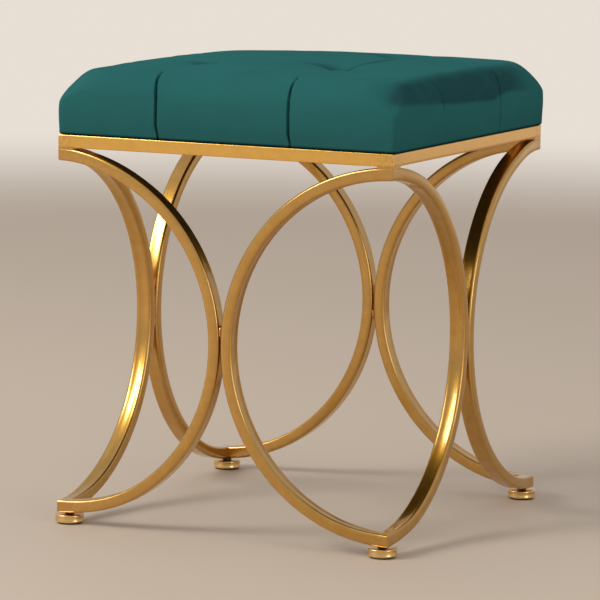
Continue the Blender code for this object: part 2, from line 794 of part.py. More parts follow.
MITRES = {side: add_mitre_envelope(side) for side in SIDES}
NUT_HOLES = hole_cutters(
    "nut_hole_",
    cylinder_mesh(
        "nut_hole", RIVET_NUT_RADIUS + HOLE_CLEARANCE, FRAME_BASE - TUBE,
        RIVET_NUT_TOP + HOLE_CLEARANCE, 16,
    ),
    glide_place,
)
SCREW_HOLES = hole_cutters(
    "screw_hole_",
    cylinder_mesh("screw_hole", TEE_NUT_BORE, PLATE_BASE - TUBE, SEAT_BASE, 16),
    screw_place,
)
TEE_NUT_HOLES = hole_cutters("tee_nut_hole_", tee_nut_hole_mesh(), screw_place)
TIE_HOLES = hole_cutters(
    "tie_hole_",
    cylinder_mesh("tie_hole", TIE_RADIUS + HOLE_CLEARANCE, BOARD_BASE - TUBE, SEAT_TOP + TUBE, 12),
    tuft_place,
)

for side in SIDES:
    add_rail(side)
    add_arcs(side)
    add_weld(side)
add_corner_plates()
add_glides()
add_seat_board()
add_foam()
add_seat_cover()
add_dust_cover()
add_seat_fasteners()
add_tuft_ties()
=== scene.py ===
"""Square tufted velvet ottoman on a frame of half-round gold tubes.

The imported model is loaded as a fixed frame. This script puts detailed tubes,
welds, glides, cloth and a cushion in the places of its plain ones, gives every
piece its material, and sets up the floor, the lights and the camera.

Units are metres, +Z is up, and the origin is on the floor under the centre.
"""

import math

import bmesh
import bpy
import numpy as np
from mathutils import Matrix, Vector, kdtree, noise


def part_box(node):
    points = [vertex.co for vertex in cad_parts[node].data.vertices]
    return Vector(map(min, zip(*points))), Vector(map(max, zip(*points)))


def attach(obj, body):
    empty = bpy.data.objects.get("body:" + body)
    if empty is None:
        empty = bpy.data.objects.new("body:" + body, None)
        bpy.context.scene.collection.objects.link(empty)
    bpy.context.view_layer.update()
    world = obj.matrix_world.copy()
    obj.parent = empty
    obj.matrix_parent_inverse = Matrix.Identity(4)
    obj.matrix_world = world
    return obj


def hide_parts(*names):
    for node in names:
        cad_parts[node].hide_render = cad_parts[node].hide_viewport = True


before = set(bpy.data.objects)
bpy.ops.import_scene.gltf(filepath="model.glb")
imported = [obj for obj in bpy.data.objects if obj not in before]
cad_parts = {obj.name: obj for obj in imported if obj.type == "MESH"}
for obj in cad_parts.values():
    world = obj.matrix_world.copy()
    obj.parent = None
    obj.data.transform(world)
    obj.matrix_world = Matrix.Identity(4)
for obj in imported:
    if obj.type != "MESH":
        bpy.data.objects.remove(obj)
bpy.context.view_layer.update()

SIDES = ("front", "right", "back", "left")
CORNERS = ("front_left", "front_right", "back_right", "back_left")
MM = 0.001

# Camera: angles in degrees, places in metres, lens and sensor width in millimetres
CAMERA_AZIMUTH = 25.988
CAMERA_ELEVATION = 7.924
CAMERA_ROLL = 0.715
CAMERA_DISTANCE = 3.9731
CAMERA_AIM = 0.230
CAMERA_SHIFT = (-2.92 * MM, -6.63 * MM)
CAMERA_LENS = 228.17
CAMERA_SENSOR = 36

# Light: the world's, then each lamp's place, target, size, power in watts and colour
WORLD_COLOUR = (1.0, 0.97, 0.94)
WORLD_STRENGTH = 0.55
LAMPS = {
    "window": ((-2.3, -2.3, 2.6), (0, 0, 0.25), (1.4, 2.0), 102, (1.0, 0.97, 0.93)),
    "overhead": ((-0.3, -0.2, 3.2), (0, 0, 0.3), (2.0, 2.0), 3, (1.0, 0.98, 0.96)),
    "side": ((2.9, -0.9, 0.9), (0, 0, 0.3), (1.2, 1.3), 16, (1.0, 0.98, 0.95)),
}

# Floor, and the distances between which it turns into the backdrop
FLOOR_RADIUS = 16
FLOOR_STEPS = 96
FLOOR_ROUGHNESS = 0.6
FLOOR_COLOUR = (0.57, 0.475, 0.385)
BACKDROP_COLOUR = (0.805, 0.735, 0.665)
BACKDROP_START = 2.5
BACKDROP_END = 4.3

# Places read from the frame
RAIL_LOW, RAIL_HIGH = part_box("rail_front")
ARC_LOW, ARC_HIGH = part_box("arc_front_a")
RAIL_TOP = RAIL_HIGH[2]
RAIL_BOTTOM = RAIL_LOW[2]
TUBE = RAIL_TOP - RAIL_BOTTOM
OUTER = -RAIL_LOW[1]
ARC_OUTER_RADIUS = (ARC_HIGH[2] - ARC_LOW[2]) / 2
ARC_RADIUS = ARC_OUTER_RADIUS - TUBE / 2
ARC_CENTRE_X = ARC_HIGH[0] - ARC_OUTER_RADIUS
ARC_CENTRE_Z = (ARC_HIGH[2] + ARC_LOW[2]) / 2
SEAT_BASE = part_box("seat_cover")[0][2]

# Tubes: their rounded edges, and the lines and rings of their meshes
TUBE_EDGE = 0.9 * MM
ARC_EDGE = 2.1 * MM
MITRE_EDGE = 0.9 * MM
CORNER_STEPS = 4
FACE_STEPS = 6
ARC_RINGS = 112
RAIL_RINGS = 40
END_SHARES = (0.0, 0.0006, 0.0012, 0.0019, 0.0028, 0.0042, 0.0065)
FIRST_RING = 0.011
TUBE_SHARP_DEGREES = 50

# Bends: what the bending does to a tube, and each pair of distances from the end of
# an arc between which one of these changes comes in or dies away
BEND_DISH = 0.7 * MM
STRETCH_DISH = 0.2 * MM
BEND_SHRINK = 0.6 * MM
SPREAD_OUT = 2.8 * MM
SPREAD_IN = 0.9 * MM
SIDE_BULGE = 0.35 * MM
CRUMPLE = 0.25
CRUMPLE_WAVE = 7 * MM
ARC_SAG = {"front_a": 2.3 * MM}
DISHED_FROM_END = (9 * MM, 30 * MM)
PRESSED_FROM_END = (6 * MM, 75 * MM)
CRUMPLED_FROM_END = (40 * MM, 90 * MM)
SAGGED_FROM_END = (10 * MM, 100 * MM)

# Welds
CORNER_WELD_REACH = 17.3 * MM
CORNER_WELD_OVERLAP = 1.4 * MM
CORNER_WELD_LUMP = 0.10 * MM
CORNER_WELD_PIT = 0.02 * MM
CORNER_WELD_STEPS = 8
TACK_HALF_WIDTH = 1.9 * MM
TACK_INSET = 0.5 * MM
TACK_ROUNDING = (0.8, 0.4, 0.8)
TACK_LUMP = (0.15 * MM, 0.2 * MM, 0.25 * MM)

# Scorched paint round the welds: the distances over which it fades, and its strength
TOP_SCORCH = (8 * MM, 30 * MM)
TOP_SCORCH_DEPTH = 22 * MM
FOOT_SCORCH = (3 * MM, 14 * MM)
FOOT_SCORCH_HEIGHT = (30 * MM, 50 * MM)
FOOT_SCORCH_SHARE = 0.5
TACK_SCORCH = (2 * MM, 7 * MM)
TACK_SCORCH_HEIGHT = (8 * MM, 22 * MM)
TACK_SCORCH_SHARE = 0.6

# Glides and their pads
GLIDE_SPREAD = 1.0 * MM
GLIDE_LIP = 0.85 * MM
GLIDE_FOOT = 1.7 * MM
GLIDE_NARROWING = 0.4 * MM
GLIDE_WAIST = 0.6 * MM
GLIDE_BORE = 2.7 * MM
GLIDE_POCKET = 5.5 * MM
GLIDE_NECK_STEPS = 12
GLIDE_STEPS = 72
GLIDE_SHARP_DEGREES = 40
STUD_HEAD = 2.1 * MM
PAD_CLEARANCE = 0.3 * MM
PAD_EDGE = 0.45 * MM
PAD_PINHOLE = 0.4 * MM
PAD_STEPS = 48

# The cushion when taut
SEAT_HALF = 187.5 * MM
SEAT_HEIGHT = 66.1 * MM
SEAT_TOP = SEAT_BASE + SEAT_HEIGHT
SEAT_TILT = 1.4 * MM
SEAT_SHIFT = 1.2 * MM
CROWN = 11 * MM
EDGE_ROLL = 24 * MM
BOTTOM_RADIUS = 2.2 * MM
UNDER_REACH = 22 * MM
CORNER_PLAN_RADIUS = 5 * MM
CORNER_WALL_HEIGHT = 34.1 * MM
CORNER_SLOPE_LENGTH = 46.5 * MM
CORNER_ROLL = 2.0 * MM
CORNER_BLEND = 8 * MM
OVERHANG = 1.2 * MM
DRAW_IN = 0.6 * MM
COVER_THICKNESS = 0.9 * MM

# Foam
FOAM_INSET = 9 * MM
FOAM_LINES = 14
FOAM_SPACING = 0.6
FOAM_SHARP_DEGREES = 40

# Tufts, and the broad hollows along creases and round tufts
TUFT = 75 * MM
VALLEY = 0.15 * MM
VALLEY_REACH = 13 * MM
TUFT_DIP = 6.8 * MM
TUFT_DIP_REACH = 20 * MM
TUFT_PULL = 1.6 * MM
TUFT_PULL_REACH = 7 * MM

# Creases on the cushion's top, one of which is bowed
CREASE = 0.2 * MM
CREASE_AT_TUFT = 3.0 * MM
CREASE_SHORT_REACH = 14 * MM
CREASE_LONG_REACH = 30 * MM
CREASE_WANDER = 1.0 * MM
CREASE_WANDER_WAVE = 27 * MM
BOWED_CREASE = 15 * MM
BOWED_DEEPER = 1.8 * MM

# Pleats on the walls, each with its place, how far it stands off its crease's
# line, how far its top hooks over, and its highest point as a share of PLEAT_RISE
PLEAT_RISE = 50.5 * MM
PLEATS = ((-TUFT, 0.4 * MM, 5.2 * MM, 1.30), (TUFT, -1.6 * MM, 1.3 * MM, 1.25))
PLEAT_DEPTH = 6.8 * MM
PLEAT_FOOT = 1.6 * MM
PLEAT_STAND_FROM = 5 * MM
PLEAT_STAND_REACH = 20 * MM
PLEAT_CARRIED = 1.5 * MM
PLEAT_CARRIED_REACH = 4 * MM

# A pleat's fold, measured across it
SLIT_WIDTH = 1.0 * MM
SLIT_LIP = (-0.2 * MM, 0.9 * MM)
SLIT_SOFTNESS = 0.8 * MM
RIDGE = 0.15
RIDGE_REACH = 4.6 * MM
TUCK = 0.06
TUCK_FROM_SLIT = 2.6 * MM
TUCK_REACH = 0.8 * MM
PINCH_REACH = 1.7 * MM

# Small ripples all over the cushion, as (scale, seed, height)
RIPPLES = ((22, 2, 0.5 * MM), (60, 5, 0.12 * MM))

# The lines of the cushion's mesh
ROLL_STEP_DEGREES = 8
OUTER_LINES = 26
CREASE_LINES = 51
MIDDLE_LINES = 21
FINE_OUTSIDE = 21 * MM
FINE_INSIDE = 9 * MM
WALL_LEVELS = 31
RETURN_LEVELS = 12

# The simulation that puffs the cushion, and how its result is carried over
INFLATE_FRAMES = 20
INFLATE_LINES = 65
INFLATE_LEVELS = 10
PINNED_BY_CREASE = 3.5 * MM
PINNED_BY_TUFT = 7 * MM
CREASE_PIN = 0.25
MOST_PUFF = 0.9 * MM
PUFF_SPREAD = 8 * MM
PUFF_NEIGHBOURS = 22

# Painted shade in the hollows behind tufts: a tuft's x and y, how far left of it, half width
SHADED_HOLLOWS = (
    (-TUFT, -TUFT, 6 * MM, 20 * MM),
    (TUFT, -TUFT, 17 * MM, 23 * MM),
    (TUFT, TUFT, 27 * MM, 17 * MM),
)
HOLLOW_SHADE = 0.7

# The band of dark pile below the right side's top edge, and a faint darkening low down
BAND_HEIGHT = 46.6 * MM
BAND_FALL = 0.049
BAND_JOG = 9.5 * MM
BAND_JOG_ALONG = (222 * MM, 290 * MM)
BAND_WAVE = 0.8 * MM
BAND_SOFTNESS = 2.6 * MM
BAND_END = (278 * MM, 350 * MM)
LOW_MARK = 0.3
LOW_MARK_HEIGHT = 35 * MM

# Painted shadow along the cushion's base, where it meets the rail
BASE_SHADOW_MARK = 0.9
BASE_SHADOW_HEIGHTS = (1.0 * MM, 3.2 * MM)

# Dust cloth
DUST_LINES = 60
DUST_SAG = 1.6 * MM
DUST_SAG_CHANGE = 0.5 * MM
DUST_GAP = 0.1 * MM
DUST_THICKNESS = 0.35 * MM


def smooth(low, high, value):
    """0 below low, 1 above high, with a smooth step between."""
    share = np.clip((value - low) / (high - low), 0, 1)
    return share * share * (3 - 2 * share)


def link(name, data):
    """A new object of the scene that holds a mesh, a light or a camera."""
    obj = bpy.data.objects.new(name, data)
    bpy.context.scene.collection.objects.link(obj)
    return obj


def mesh_of(name, verts, faces, sharp_degrees=None):
    """A smooth mesh from computed points, its faces turned outwards and its sharper edges kept."""
    mesh = bpy.data.meshes.new(name)
    mesh.from_pydata([tuple(v) for v in verts], [], faces)
    bm = bmesh.new()
    bm.from_mesh(mesh)
    bmesh.ops.recalc_face_normals(bm, faces=bm.faces)
    bm.to_mesh(mesh)
    bm.free()
    mesh.shade_smooth()
    if sharp_degrees:
        mesh.set_sharp_from_angle(angle=math.radians(sharp_degrees))
    return mesh


def band_faces(first, second):
    """Faces between two closed rings, each given as the numbers of its points."""
    faces = []
    for place in range(len(first)):
        ahead = (place + 1) % len(first)
        faces.append((first[place], first[ahead], second[ahead], second[place]))
    return faces


def ring_faces(count, around, wrapped=False):
    """Faces between rings of points, each joined to the next.

    The last ring is joined to the first if they are wrapped. If not, both are filled."""
    rings = [range(ring * around, (ring + 1) * around) for ring in range(count)]
    faces = []
    for first, second in zip(rings, rings[1:] + rings[:1] if wrapped else rings[1:]):
        faces += band_faces(first, second)
    if not wrapped:
        faces += [tuple(rings[0]), tuple(rings[-1])]
    return faces


def add_attribute(mesh, name, values):
    layer = mesh.attributes.new(name, "FLOAT", "POINT")
    layer.data.foreach_set("value", np.asarray(values, dtype=np.float32))


def grid_faces(count):
    """Faces of a square grid of points."""
    faces = []
    for i in range(count - 1):
        for j in range(count - 1):
            first = i * count + j
            faces.append((first, first + count, first + count + 1, first + 1))
    return faces


def grid_border(count):
    """Row and column of each outer point of a square grid, in order round it."""
    last = count - 1
    border = [(i, 0) for i in range(last)] + [(last, j) for j in range(last)]
    return border + [(i, last) for i in range(last, 0, -1)] + [(0, j) for j in range(last, 0, -1)]


def rounded_corners(x, y, half, radius):
    """Places on a square plan, drawn in where they lie in its corners, to round these."""
    inner = half - radius
    over_x = (np.abs(x) - inner) / radius
    over_y = (np.abs(y) - inner) / radius
    near = (over_x > 0) & (over_y > 0)
    new_x = inner + radius * over_x * np.sqrt(np.maximum(0, 1 - over_y ** 2 / 2))
    new_y = inner + radius * over_y * np.sqrt(np.maximum(0, 1 - over_x ** 2 / 2))
    return np.where(near, np.sign(x) * new_x, x), np.where(near, np.sign(y) * new_y, y)


def turned(points, side):
    """Points of the front side, turned about Z on to another side."""
    x, y, z = points[:, 0], points[:, 1], points[:, 2]
    for _ in range(SIDES.index(side)):
        x, y = -y, x
    return np.stack([x, y, z], axis=1)


def noise_field(points, scale, seed):
    """Smooth noise from -1 to 1 at each point."""
    shift = Vector((seed * 17.3, seed * 5.1, seed * 9.7))
    return np.array([
        noise.noise(Vector(point) * scale + shift, noise_basis="PERLIN_NEW") for point in points
    ])


# Materials

# The mix node's sockets for its factor, its two colours and its resulting colour
COLOUR_MIX_INPUTS = (0, 6, 7)
COLOUR_MIX_OUTPUT = 2


def new_material(name, inputs):
    """A material, its nodes and its shader with some of its inputs set."""
    material = bpy.data.materials.new(name)
    material.use_nodes = True
    shader = material.node_tree.nodes["Principled BSDF"]
    for key, value in inputs.items():
        shader.inputs[key].default_value = value
    return material, material.node_tree, shader


def add_node(tree, kind, **values):
    node = tree.nodes.new(kind)
    for key, value in values.items():
        if key in node.inputs:
            node.inputs[key].default_value = value
        else:
            setattr(node, key, value)
    return node


def object_coords(tree, stretch=(1, 1, 1)):
    coords = add_node(tree, "ShaderNodeTexCoord")
    mapping = add_node(tree, "ShaderNodeMapping", Scale=stretch)
    tree.links.new(coords.outputs["Object"], mapping.inputs["Vector"])
    return mapping.outputs["Vector"]


def add_noise(tree, coords, scale, detail=2.0, roughness=0.5):
    node = add_node(tree, "ShaderNodeTexNoise", Scale=scale, Detail=detail, Roughness=roughness)
    tree.links.new(coords, node.inputs["Vector"])
    return node.outputs["Fac"]


def add_ramp(tree, factor, stops):
    """A colour ramp through (position, colour) stops."""
    node = add_node(tree, "ShaderNodeValToRGB")
    ramp = node.color_ramp
    while len(ramp.elements) < len(stops):
        ramp.elements.new(0.5)
    for element, (position, colour) in zip(ramp.elements, stops):
        element.position = position
        element.color = (*colour, 1.0)
    tree.links.new(factor, node.inputs["Fac"])
    return node.outputs["Color"]


def add_range(tree, factor, low, high):
    """A number that follows a 0 to 1 factor from low to high."""
    node = add_node(tree, "ShaderNodeMapRange", **{"To Min": low, "To Max": high})
    tree.links.new(factor, node.inputs["Value"])
    return node.outputs["Result"]


def feed(tree, socket, value):
    """Sets a socket to a number or a colour, or links another node's output to it."""
    if isinstance(value, (int, float)):
        socket.default_value = value
    elif isinstance(value, tuple):
        socket.default_value = (*value, 1.0)
    else:
        tree.links.new(value, socket)


def add_math(tree, operation, first, second):
    node = add_node(tree, "ShaderNodeMath", operation=operation)
    feed(tree, node.inputs[0], first)
    feed(tree, node.inputs[1], second)
    return node.outputs["Value"]


def add_mix(tree, factor, first, second):
    """A colour between two others."""
    node = add_node(tree, "ShaderNodeMix", data_type="RGBA")
    for place, value in zip(COLOUR_MIX_INPUTS, (factor, first, second)):
        feed(tree, node.inputs[place], value)
    return node.outputs[COLOUR_MIX_OUTPUT]


def add_bump(tree, height, strength, distance, before=None):
    """A bumpy normal, on top of an earlier one if it is given."""
    node = add_node(tree, "ShaderNodeBump", Distance=distance)
    feed(tree, node.inputs["Strength"], strength)
    tree.links.new(height, node.inputs["Height"])
    if before:
        tree.links.new(before, node.inputs["Normal"])
    return node.outputs["Normal"]


def add_attribute_node(tree, name):
    return add_node(tree, "ShaderNodeAttribute", attribute_name=name).outputs["Fac"]


def gold_paint(name, light, dark):
    """Sprayed metallic gold under lacquer: a fine grain, orange peel, and lumpier over the welds."""
    material, tree, shader = new_material(name, {
        "Metallic": 1.0,
        "Specular Tint": (1.0, 0.82, 0.5, 1.0),
        "Coat Weight": 1.0,
        "Coat Roughness": 0.13,
        "Coat IOR": 1.7,
    })
    coords = object_coords(tree)
    clouds = add_noise(tree, coords, scale=90, detail=4.0, roughness=0.6)
    painted = add_ramp(tree, clouds, [(0.35, dark), (0.65, light)])
    weld = add_attribute_node(tree, "weld")
    peel = add_noise(tree, coords, scale=330, detail=3.0, roughness=0.6)
    scorched = add_math(tree, "MULTIPLY", add_range(tree, peel, -1.2, 1.6), weld)
    tree.links.new(add_mix(tree, scorched, painted, GOLD_OVER_WELD), shader.inputs["Base Color"])
    uneven = add_range(tree, peel, GOLD_ROUGHNESS - 0.03, GOLD_ROUGHNESS + 0.05)
    tree.links.new(uneven, shader.inputs["Roughness"])
    strength = add_math(tree, "ADD", add_math(tree, "MULTIPLY", weld, WELD_BUMP), PAINT_BUMP)
    lumpy = add_bump(tree, peel, strength, distance=1.0 * MM)
    tree.links.new(lumpy, shader.inputs["Coat Normal"])
    grain = add_noise(tree, coords, scale=1500)
    grained = add_bump(tree, grain, PAINT_BUMP, distance=0.08 * MM, before=lumpy)
    tree.links.new(grained, shader.inputs["Normal"])
    return material


def velvet():
    """Short pile with brushed patches, darker where the pile lies the other way, with painted shade in
    creases and hollows and a painted shadow along the base.
    """
    material, tree, shader = new_material("teal_velvet_pile", {
        "Roughness": 0.9,
        "Specular IOR Level": 0.0,
        "Sheen Weight": 0.05,
        "Sheen Roughness": 0.5,
        "Sheen Tint": (0.16, 0.62, 0.58, 1.0),
    })
    coords = object_coords(tree)
    patches = add_noise(tree, coords, scale=13, detail=3.0, roughness=0.55)
    pile = add_noise(tree, coords, scale=750)
    base = add_ramp(tree, patches, [(0.3, VELVET_DEEP), (0.7, VELVET_LIGHT)])
    # Darker where the pile lies the other way, and painted shade in creases and hollows
    napped_and_shaded = add_mix(tree, add_attribute_node(tree, "nap_and_painted_shade"), base, VELVET_NAP_AND_SHADE)
    speckled = add_mix(tree, add_range(tree, pile, 0.0, 0.2), napped_and_shaded, VELVET_BETWEEN_FIBRES)
    # Painted shadow along the base of the cushion
    folded = add_mix(tree, add_attribute_node(tree, "base_shadow"), speckled, VELVET_IN_BASE_SHADOW)
    tree.links.new(folded, shader.inputs["Base Color"])
    cloth = add_noise(tree, coords, scale=95, detail=3.0)
    soft = add_bump(tree, cloth, strength=0.12, distance=0.6 * MM)
    brushed = add_bump(tree, pile, strength=0.35, distance=0.12 * MM, before=soft)
    tree.links.new(brushed, shader.inputs["Normal"])
    return material


def plain_grained(name, light, dark, scale, roughness, bump, stretch=(1, 1, 1), metallic=0.0):
    """A surface of two close colours in a fine noise, with a bump to match."""
    material, tree, shader = new_material(name, {"Metallic": metallic, "Roughness": roughness})
    coords = object_coords(tree, stretch)
    grain = add_noise(tree, coords, scale, detail=4.0, roughness=0.6)
    tree.links.new(add_ramp(tree, grain, [(0.35, dark), (0.65, light)]), shader.inputs["Base Color"])
    tree.links.new(add_bump(tree, grain, bump, 0.1 * MM), shader.inputs["Normal"])
    return material


GOLD_ROUGHNESS = 0.28
GOLD_OVER_WELD = (0.50, 0.25, 0.045)
PAINT_BUMP = 0.012
WELD_BUMP = 0.10

VELVET_LIGHT = (0.0245, 0.132, 0.131)
VELVET_DEEP = (0.0215, 0.117, 0.117)
# The darker pile colour, also used for the painted shade in creases and hollows
VELVET_NAP_AND_SHADE = (0.0160, 0.0620, 0.0700)
VELVET_BETWEEN_FIBRES = (0.008, 0.058, 0.056)
# Colour of the painted shadow along the cushion's base
VELVET_IN_BASE_SHADOW = (0.004, 0.013, 0.014)

GOLD = gold_paint("gold_satin_paint", light=(0.83, 0.448, 0.052), dark=(0.78, 0.412, 0.045))
# A darker copy of the gold for the arcs and their welds: painted shade standing in for the darker floor
# they reflect, lower down than the rails
SHADED_GOLD = gold_paint("gold_satin_paint_shaded", light=(0.58, 0.305, 0.036), dark=(0.52, 0.267, 0.028))
GLIDE_GOLD = plain_grained(
    "gold_polished_glide", light=(0.86, 0.59, 0.25), dark=(0.81, 0.54, 0.22),
    scale=300, roughness=0.25, bump=0.03, metallic=1.0,
)
# Black steel for the rivet nuts: painted shade for the dark gap between each tube and its glide
GAP_SHADE_STEEL = plain_grained(
    "black_steel_gap_shade", light=(0.10, 0.09, 0.08), dark=(0.06, 0.055, 0.05),
    scale=500, roughness=0.5, bump=0.1, metallic=1.0,
)
ZINC = plain_grained(
    "zinc_plate", light=(0.60, 0.60, 0.58), dark=(0.50, 0.50, 0.49),
    scale=400, roughness=0.36, bump=0.1, metallic=1.0,
)
RUBBER = plain_grained(
    "black_rubber_pad", light=(0.020, 0.020, 0.020), dark=(0.012, 0.012, 0.012),
    scale=900, roughness=0.75, bump=0.3,
)
VELVET = velvet()
FOAM = plain_grained(
    "seat_foam", light=(0.80, 0.76, 0.58), dark=(0.70, 0.65, 0.48),
    scale=700, roughness=0.95, bump=0.6,
)
PLYWOOD = plain_grained(
    "birch_plywood", light=(0.60, 0.43, 0.26), dark=(0.50, 0.34, 0.19),
    scale=60, roughness=0.7, bump=0.2, stretch=(1, 6, 12),
)
DUST_CLOTH = plain_grained(
    "black_dust_cloth", light=(0.018, 0.018, 0.018), dark=(0.008, 0.008, 0.008),
    scale=500, roughness=0.95, bump=0.5,
)
TWINE = plain_grained(
    "tuft_twine_fibre", light=(0.72, 0.67, 0.54), dark=(0.55, 0.50, 0.38),
    scale=1200, roughness=0.9, bump=0.6,
)


def replace_piece(mesh, material, body, slot, *nodes):
    """Links a detailed piece that rides on a body, and stands for the CAD nodes given."""
    piece = link(mesh.name, mesh)
    mesh.materials.append(material)
    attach(piece, body)
    if nodes:
        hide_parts(*nodes)
    return piece


# Tubes


def tube_section(edge):
    """Points round a square tube with rounded edges, as (across, depth from the outer face)."""
    half = TUBE / 2
    flat = half - edge
    edges = ((1, 1, -1, 0), (-1, 1, 0, -1), (-1, -1, 1, 0), (1, -1, 0, 1))
    points = []
    for turn, (across, up, step_across, step_up) in enumerate(edges):
        for step in range(CORNER_STEPS + 1):
            angle = math.radians(90 * (turn + step / CORNER_STEPS))
            x = across * flat + edge * math.cos(angle)
            y = up * flat + edge * math.sin(angle)
            points.append((x, y))
        for step in range(1, FACE_STEPS):
            far = 2 * flat * step / FACE_STEPS
            points.append((x + step_across * far, y + step_up * far))
    section = np.array(points)
    return np.stack([section[:, 0], half - section[:, 1]], axis=1)


def ring_shares(count):
    """Shares of a tube's length from end to end, close together at its two ends."""
    near = np.array(END_SHARES)
    return np.concatenate([near, np.linspace(FIRST_RING, 1 - FIRST_RING, count), 1 - near[::-1]])


def weld_zone(points):
    """How near each point is to a weld at a frame corner or between two arcs."""
    x, y, z = np.abs(points[:, 0]), np.abs(points[:, 1]), points[:, 2]
    along = np.minimum(x, y)
    from_corner = OUTER - along
    from_tack = np.abs(z - ARC_CENTRE_Z)
    top = (1 - smooth(*TOP_SCORCH, from_corner)) * smooth(RAIL_BOTTOM - TOP_SCORCH_DEPTH, RAIL_BOTTOM, z)
    foot = (1 - smooth(*FOOT_SCORCH, from_corner)) * (1 - smooth(*FOOT_SCORCH_HEIGHT, z))
    tack = (1 - smooth(*TACK_SCORCH, along)) * (1 - smooth(*TACK_SCORCH_HEIGHT, from_tack))
    return np.maximum(np.maximum(top, FOOT_SCORCH_SHARE * foot), TACK_SCORCH_SHARE * tack)


def finish_tube(name, points, rings, around, side, hand):
    """Mesh of a front tube's points, mirrored for hand b and turned on to its side."""
    if hand == "b":
        points = points * np.array([-1, 1, 1])
    points = turned(points, side)
    # Rounds the upright edge where two sides meet at a corner of the frame
    points[:, 0], points[:, 1] = rounded_corners(points[:, 0], points[:, 1], OUTER, MITRE_EDGE)
    mesh = mesh_of(name, points, ring_faces(rings, around), TUBE_SHARP_DEGREES)
    add_attribute(mesh, "weld", weld_zone(points))
    return mesh


def arc_mesh(name, side, hand):
    """Half-round tube, mitred at both ends and pressed out of square by the bending.

    It is shallower across its bend and spread sideways, with a dished inner wall and bulging sides."""
    section = tube_section(ARC_EDGE)
    shares = ring_shares(ARC_RINGS)
    half = TUBE / 2
    flat = half - ARC_EDGE
    across, depth = section[:, 0], section[:, 1]
    centred = np.clip((depth - half) / flat, -1, 1)
    bowl = (1 - centred ** 2) ** 0.8
    bend_side = across < -half + 1e-6
    stretch_side = across > half - 1e-6
    shrink = BEND_SHRINK * (half - across) / TUBE
    spread = SPREAD_IN * depth / TUBE - SPREAD_OUT * (1 - depth / TUBE)
    bulge = SIDE_BULGE * (1 - (across / half) ** 2) * np.sign(depth - half)
    sag = ARC_SAG.get(side + "_" + hand, 0.0)
    points = []
    for share in shares:
        end = min(share, 1 - share) * math.pi * ARC_RADIUS
        dished = smooth(*DISHED_FROM_END, end)
        pressed = smooth(*PRESSED_FROM_END, end)
        sagged = sag * smooth(*SAGGED_FROM_END, end)
        uneven = 1 - smooth(*CRUMPLED_FROM_END, end)
        crumple = 1 + CRUMPLE * math.sin(end / CRUMPLE_WAVE) * uneven
        offset = across + shrink * pressed
        offset[bend_side] += (BEND_DISH * crumple * dished * bowl)[bend_side]
        offset[stretch_side] -= (STRETCH_DISH * dished * bowl)[stretch_side]
        radius = ARC_RADIUS + offset
        start = np.arccos((depth - OUTER - ARC_CENTRE_X) / (ARC_RADIUS + across))
        angle = start * (2 * share - 1)
        points.append(np.stack([
            ARC_CENTRE_X + radius * np.cos(angle),
            -OUTER + depth + spread * pressed + bulge * dished,
            ARC_CENTRE_Z + radius * np.sin(angle) - sagged,
        ], axis=1))
    return finish_tube(name, np.concatenate(points), len(shares), len(section), side, hand)


def rail_mesh(name, side):
    """Straight tube, mitred at both ends."""
    section = tube_section(TUBE_EDGE)
    across, depth = section[:, 0], section[:, 1]
    shares = ring_shares(RAIL_RINGS)
    points = []
    for share in shares:
        points.append(np.stack([
            (OUTER - depth) * (2 * share - 1),
            -OUTER + depth,
            RAIL_TOP - TUBE / 2 + across,
        ], axis=1))
    return finish_tube(name, np.concatenate(points), len(shares), len(section), side, "a")


def corner_weld_mesh(name, side, hand):
    """The weld that fills the narrow wedge between rail and arc, ground nearly flush."""
    lengths = np.concatenate([[0, 0.015, 0.03, 0.05, 0.08], np.linspace(0.12, 1, 16)])
    around = CORNER_WELD_STEPS
    points = []
    for length in lengths:
        for place in range(2 * around):
            inside = place >= around
            share = (2 * around - 1 - place if inside else place) / (around - 1)
            depth = TUBE if inside else 0.0
            start = -OUTER + depth
            x = start + length * (CORNER_WELD_REACH - depth)
            arc_top = ARC_CENTRE_Z + math.sqrt(ARC_OUTER_RADIUS ** 2 - (x - ARC_CENTRE_X) ** 2)
            low = arc_top - CORNER_WELD_OVERLAP
            high = RAIL_BOTTOM + CORNER_WELD_OVERLAP
            points.append((x, start, low + (high - low) * share))
    points = np.array(points)
    lumps = noise_field(points, 350, 3 + SIDES.index(side)) * CORNER_WELD_LUMP
    outwards = np.where(points[:, 1] < -OUTER + TUBE / 2, 1, -1)
    points[:, 1] -= outwards * np.maximum(lumps, -CORNER_WELD_PIT)
    return finish_tube(name, points, len(lengths), 2 * around, side, hand)


def tack_weld_mesh(name, side):
    """Lumpy bead where the two arcs of a side are tacked together."""
    low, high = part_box("weld_" + side)
    middle_z = (low[2] + high[2]) / 2
    bm = bmesh.new()
    bmesh.ops.create_uvsphere(bm, u_segments=28, v_segments=20, radius=1)
    bm.verts.index_update()
    sphere = np.array([vert.co for vert in bm.verts])
    # Sorted, as a ball's faces come in another order each time
    faces = sorted(tuple(vert.index for vert in face.verts) for face in bm.faces)
    bm.free()
    boxy = np.sign(sphere) * np.abs(sphere) ** np.array(TACK_ROUNDING)
    spread = TUBE + SPREAD_OUT + SPREAD_IN
    reach = np.array([TACK_HALF_WIDTH, spread / 2 - TACK_INSET, (high[2] - low[2]) / 2])
    points = boxy * reach + np.array([0, -OUTER - SPREAD_OUT + spread / 2, middle_z])
    points += noise_field(points, 420, 11)[:, None] * np.array(TACK_LUMP)
    mesh = mesh_of(name, turned(points, side), faces)
    add_attribute(mesh, "weld", np.ones(len(points)))
    return mesh


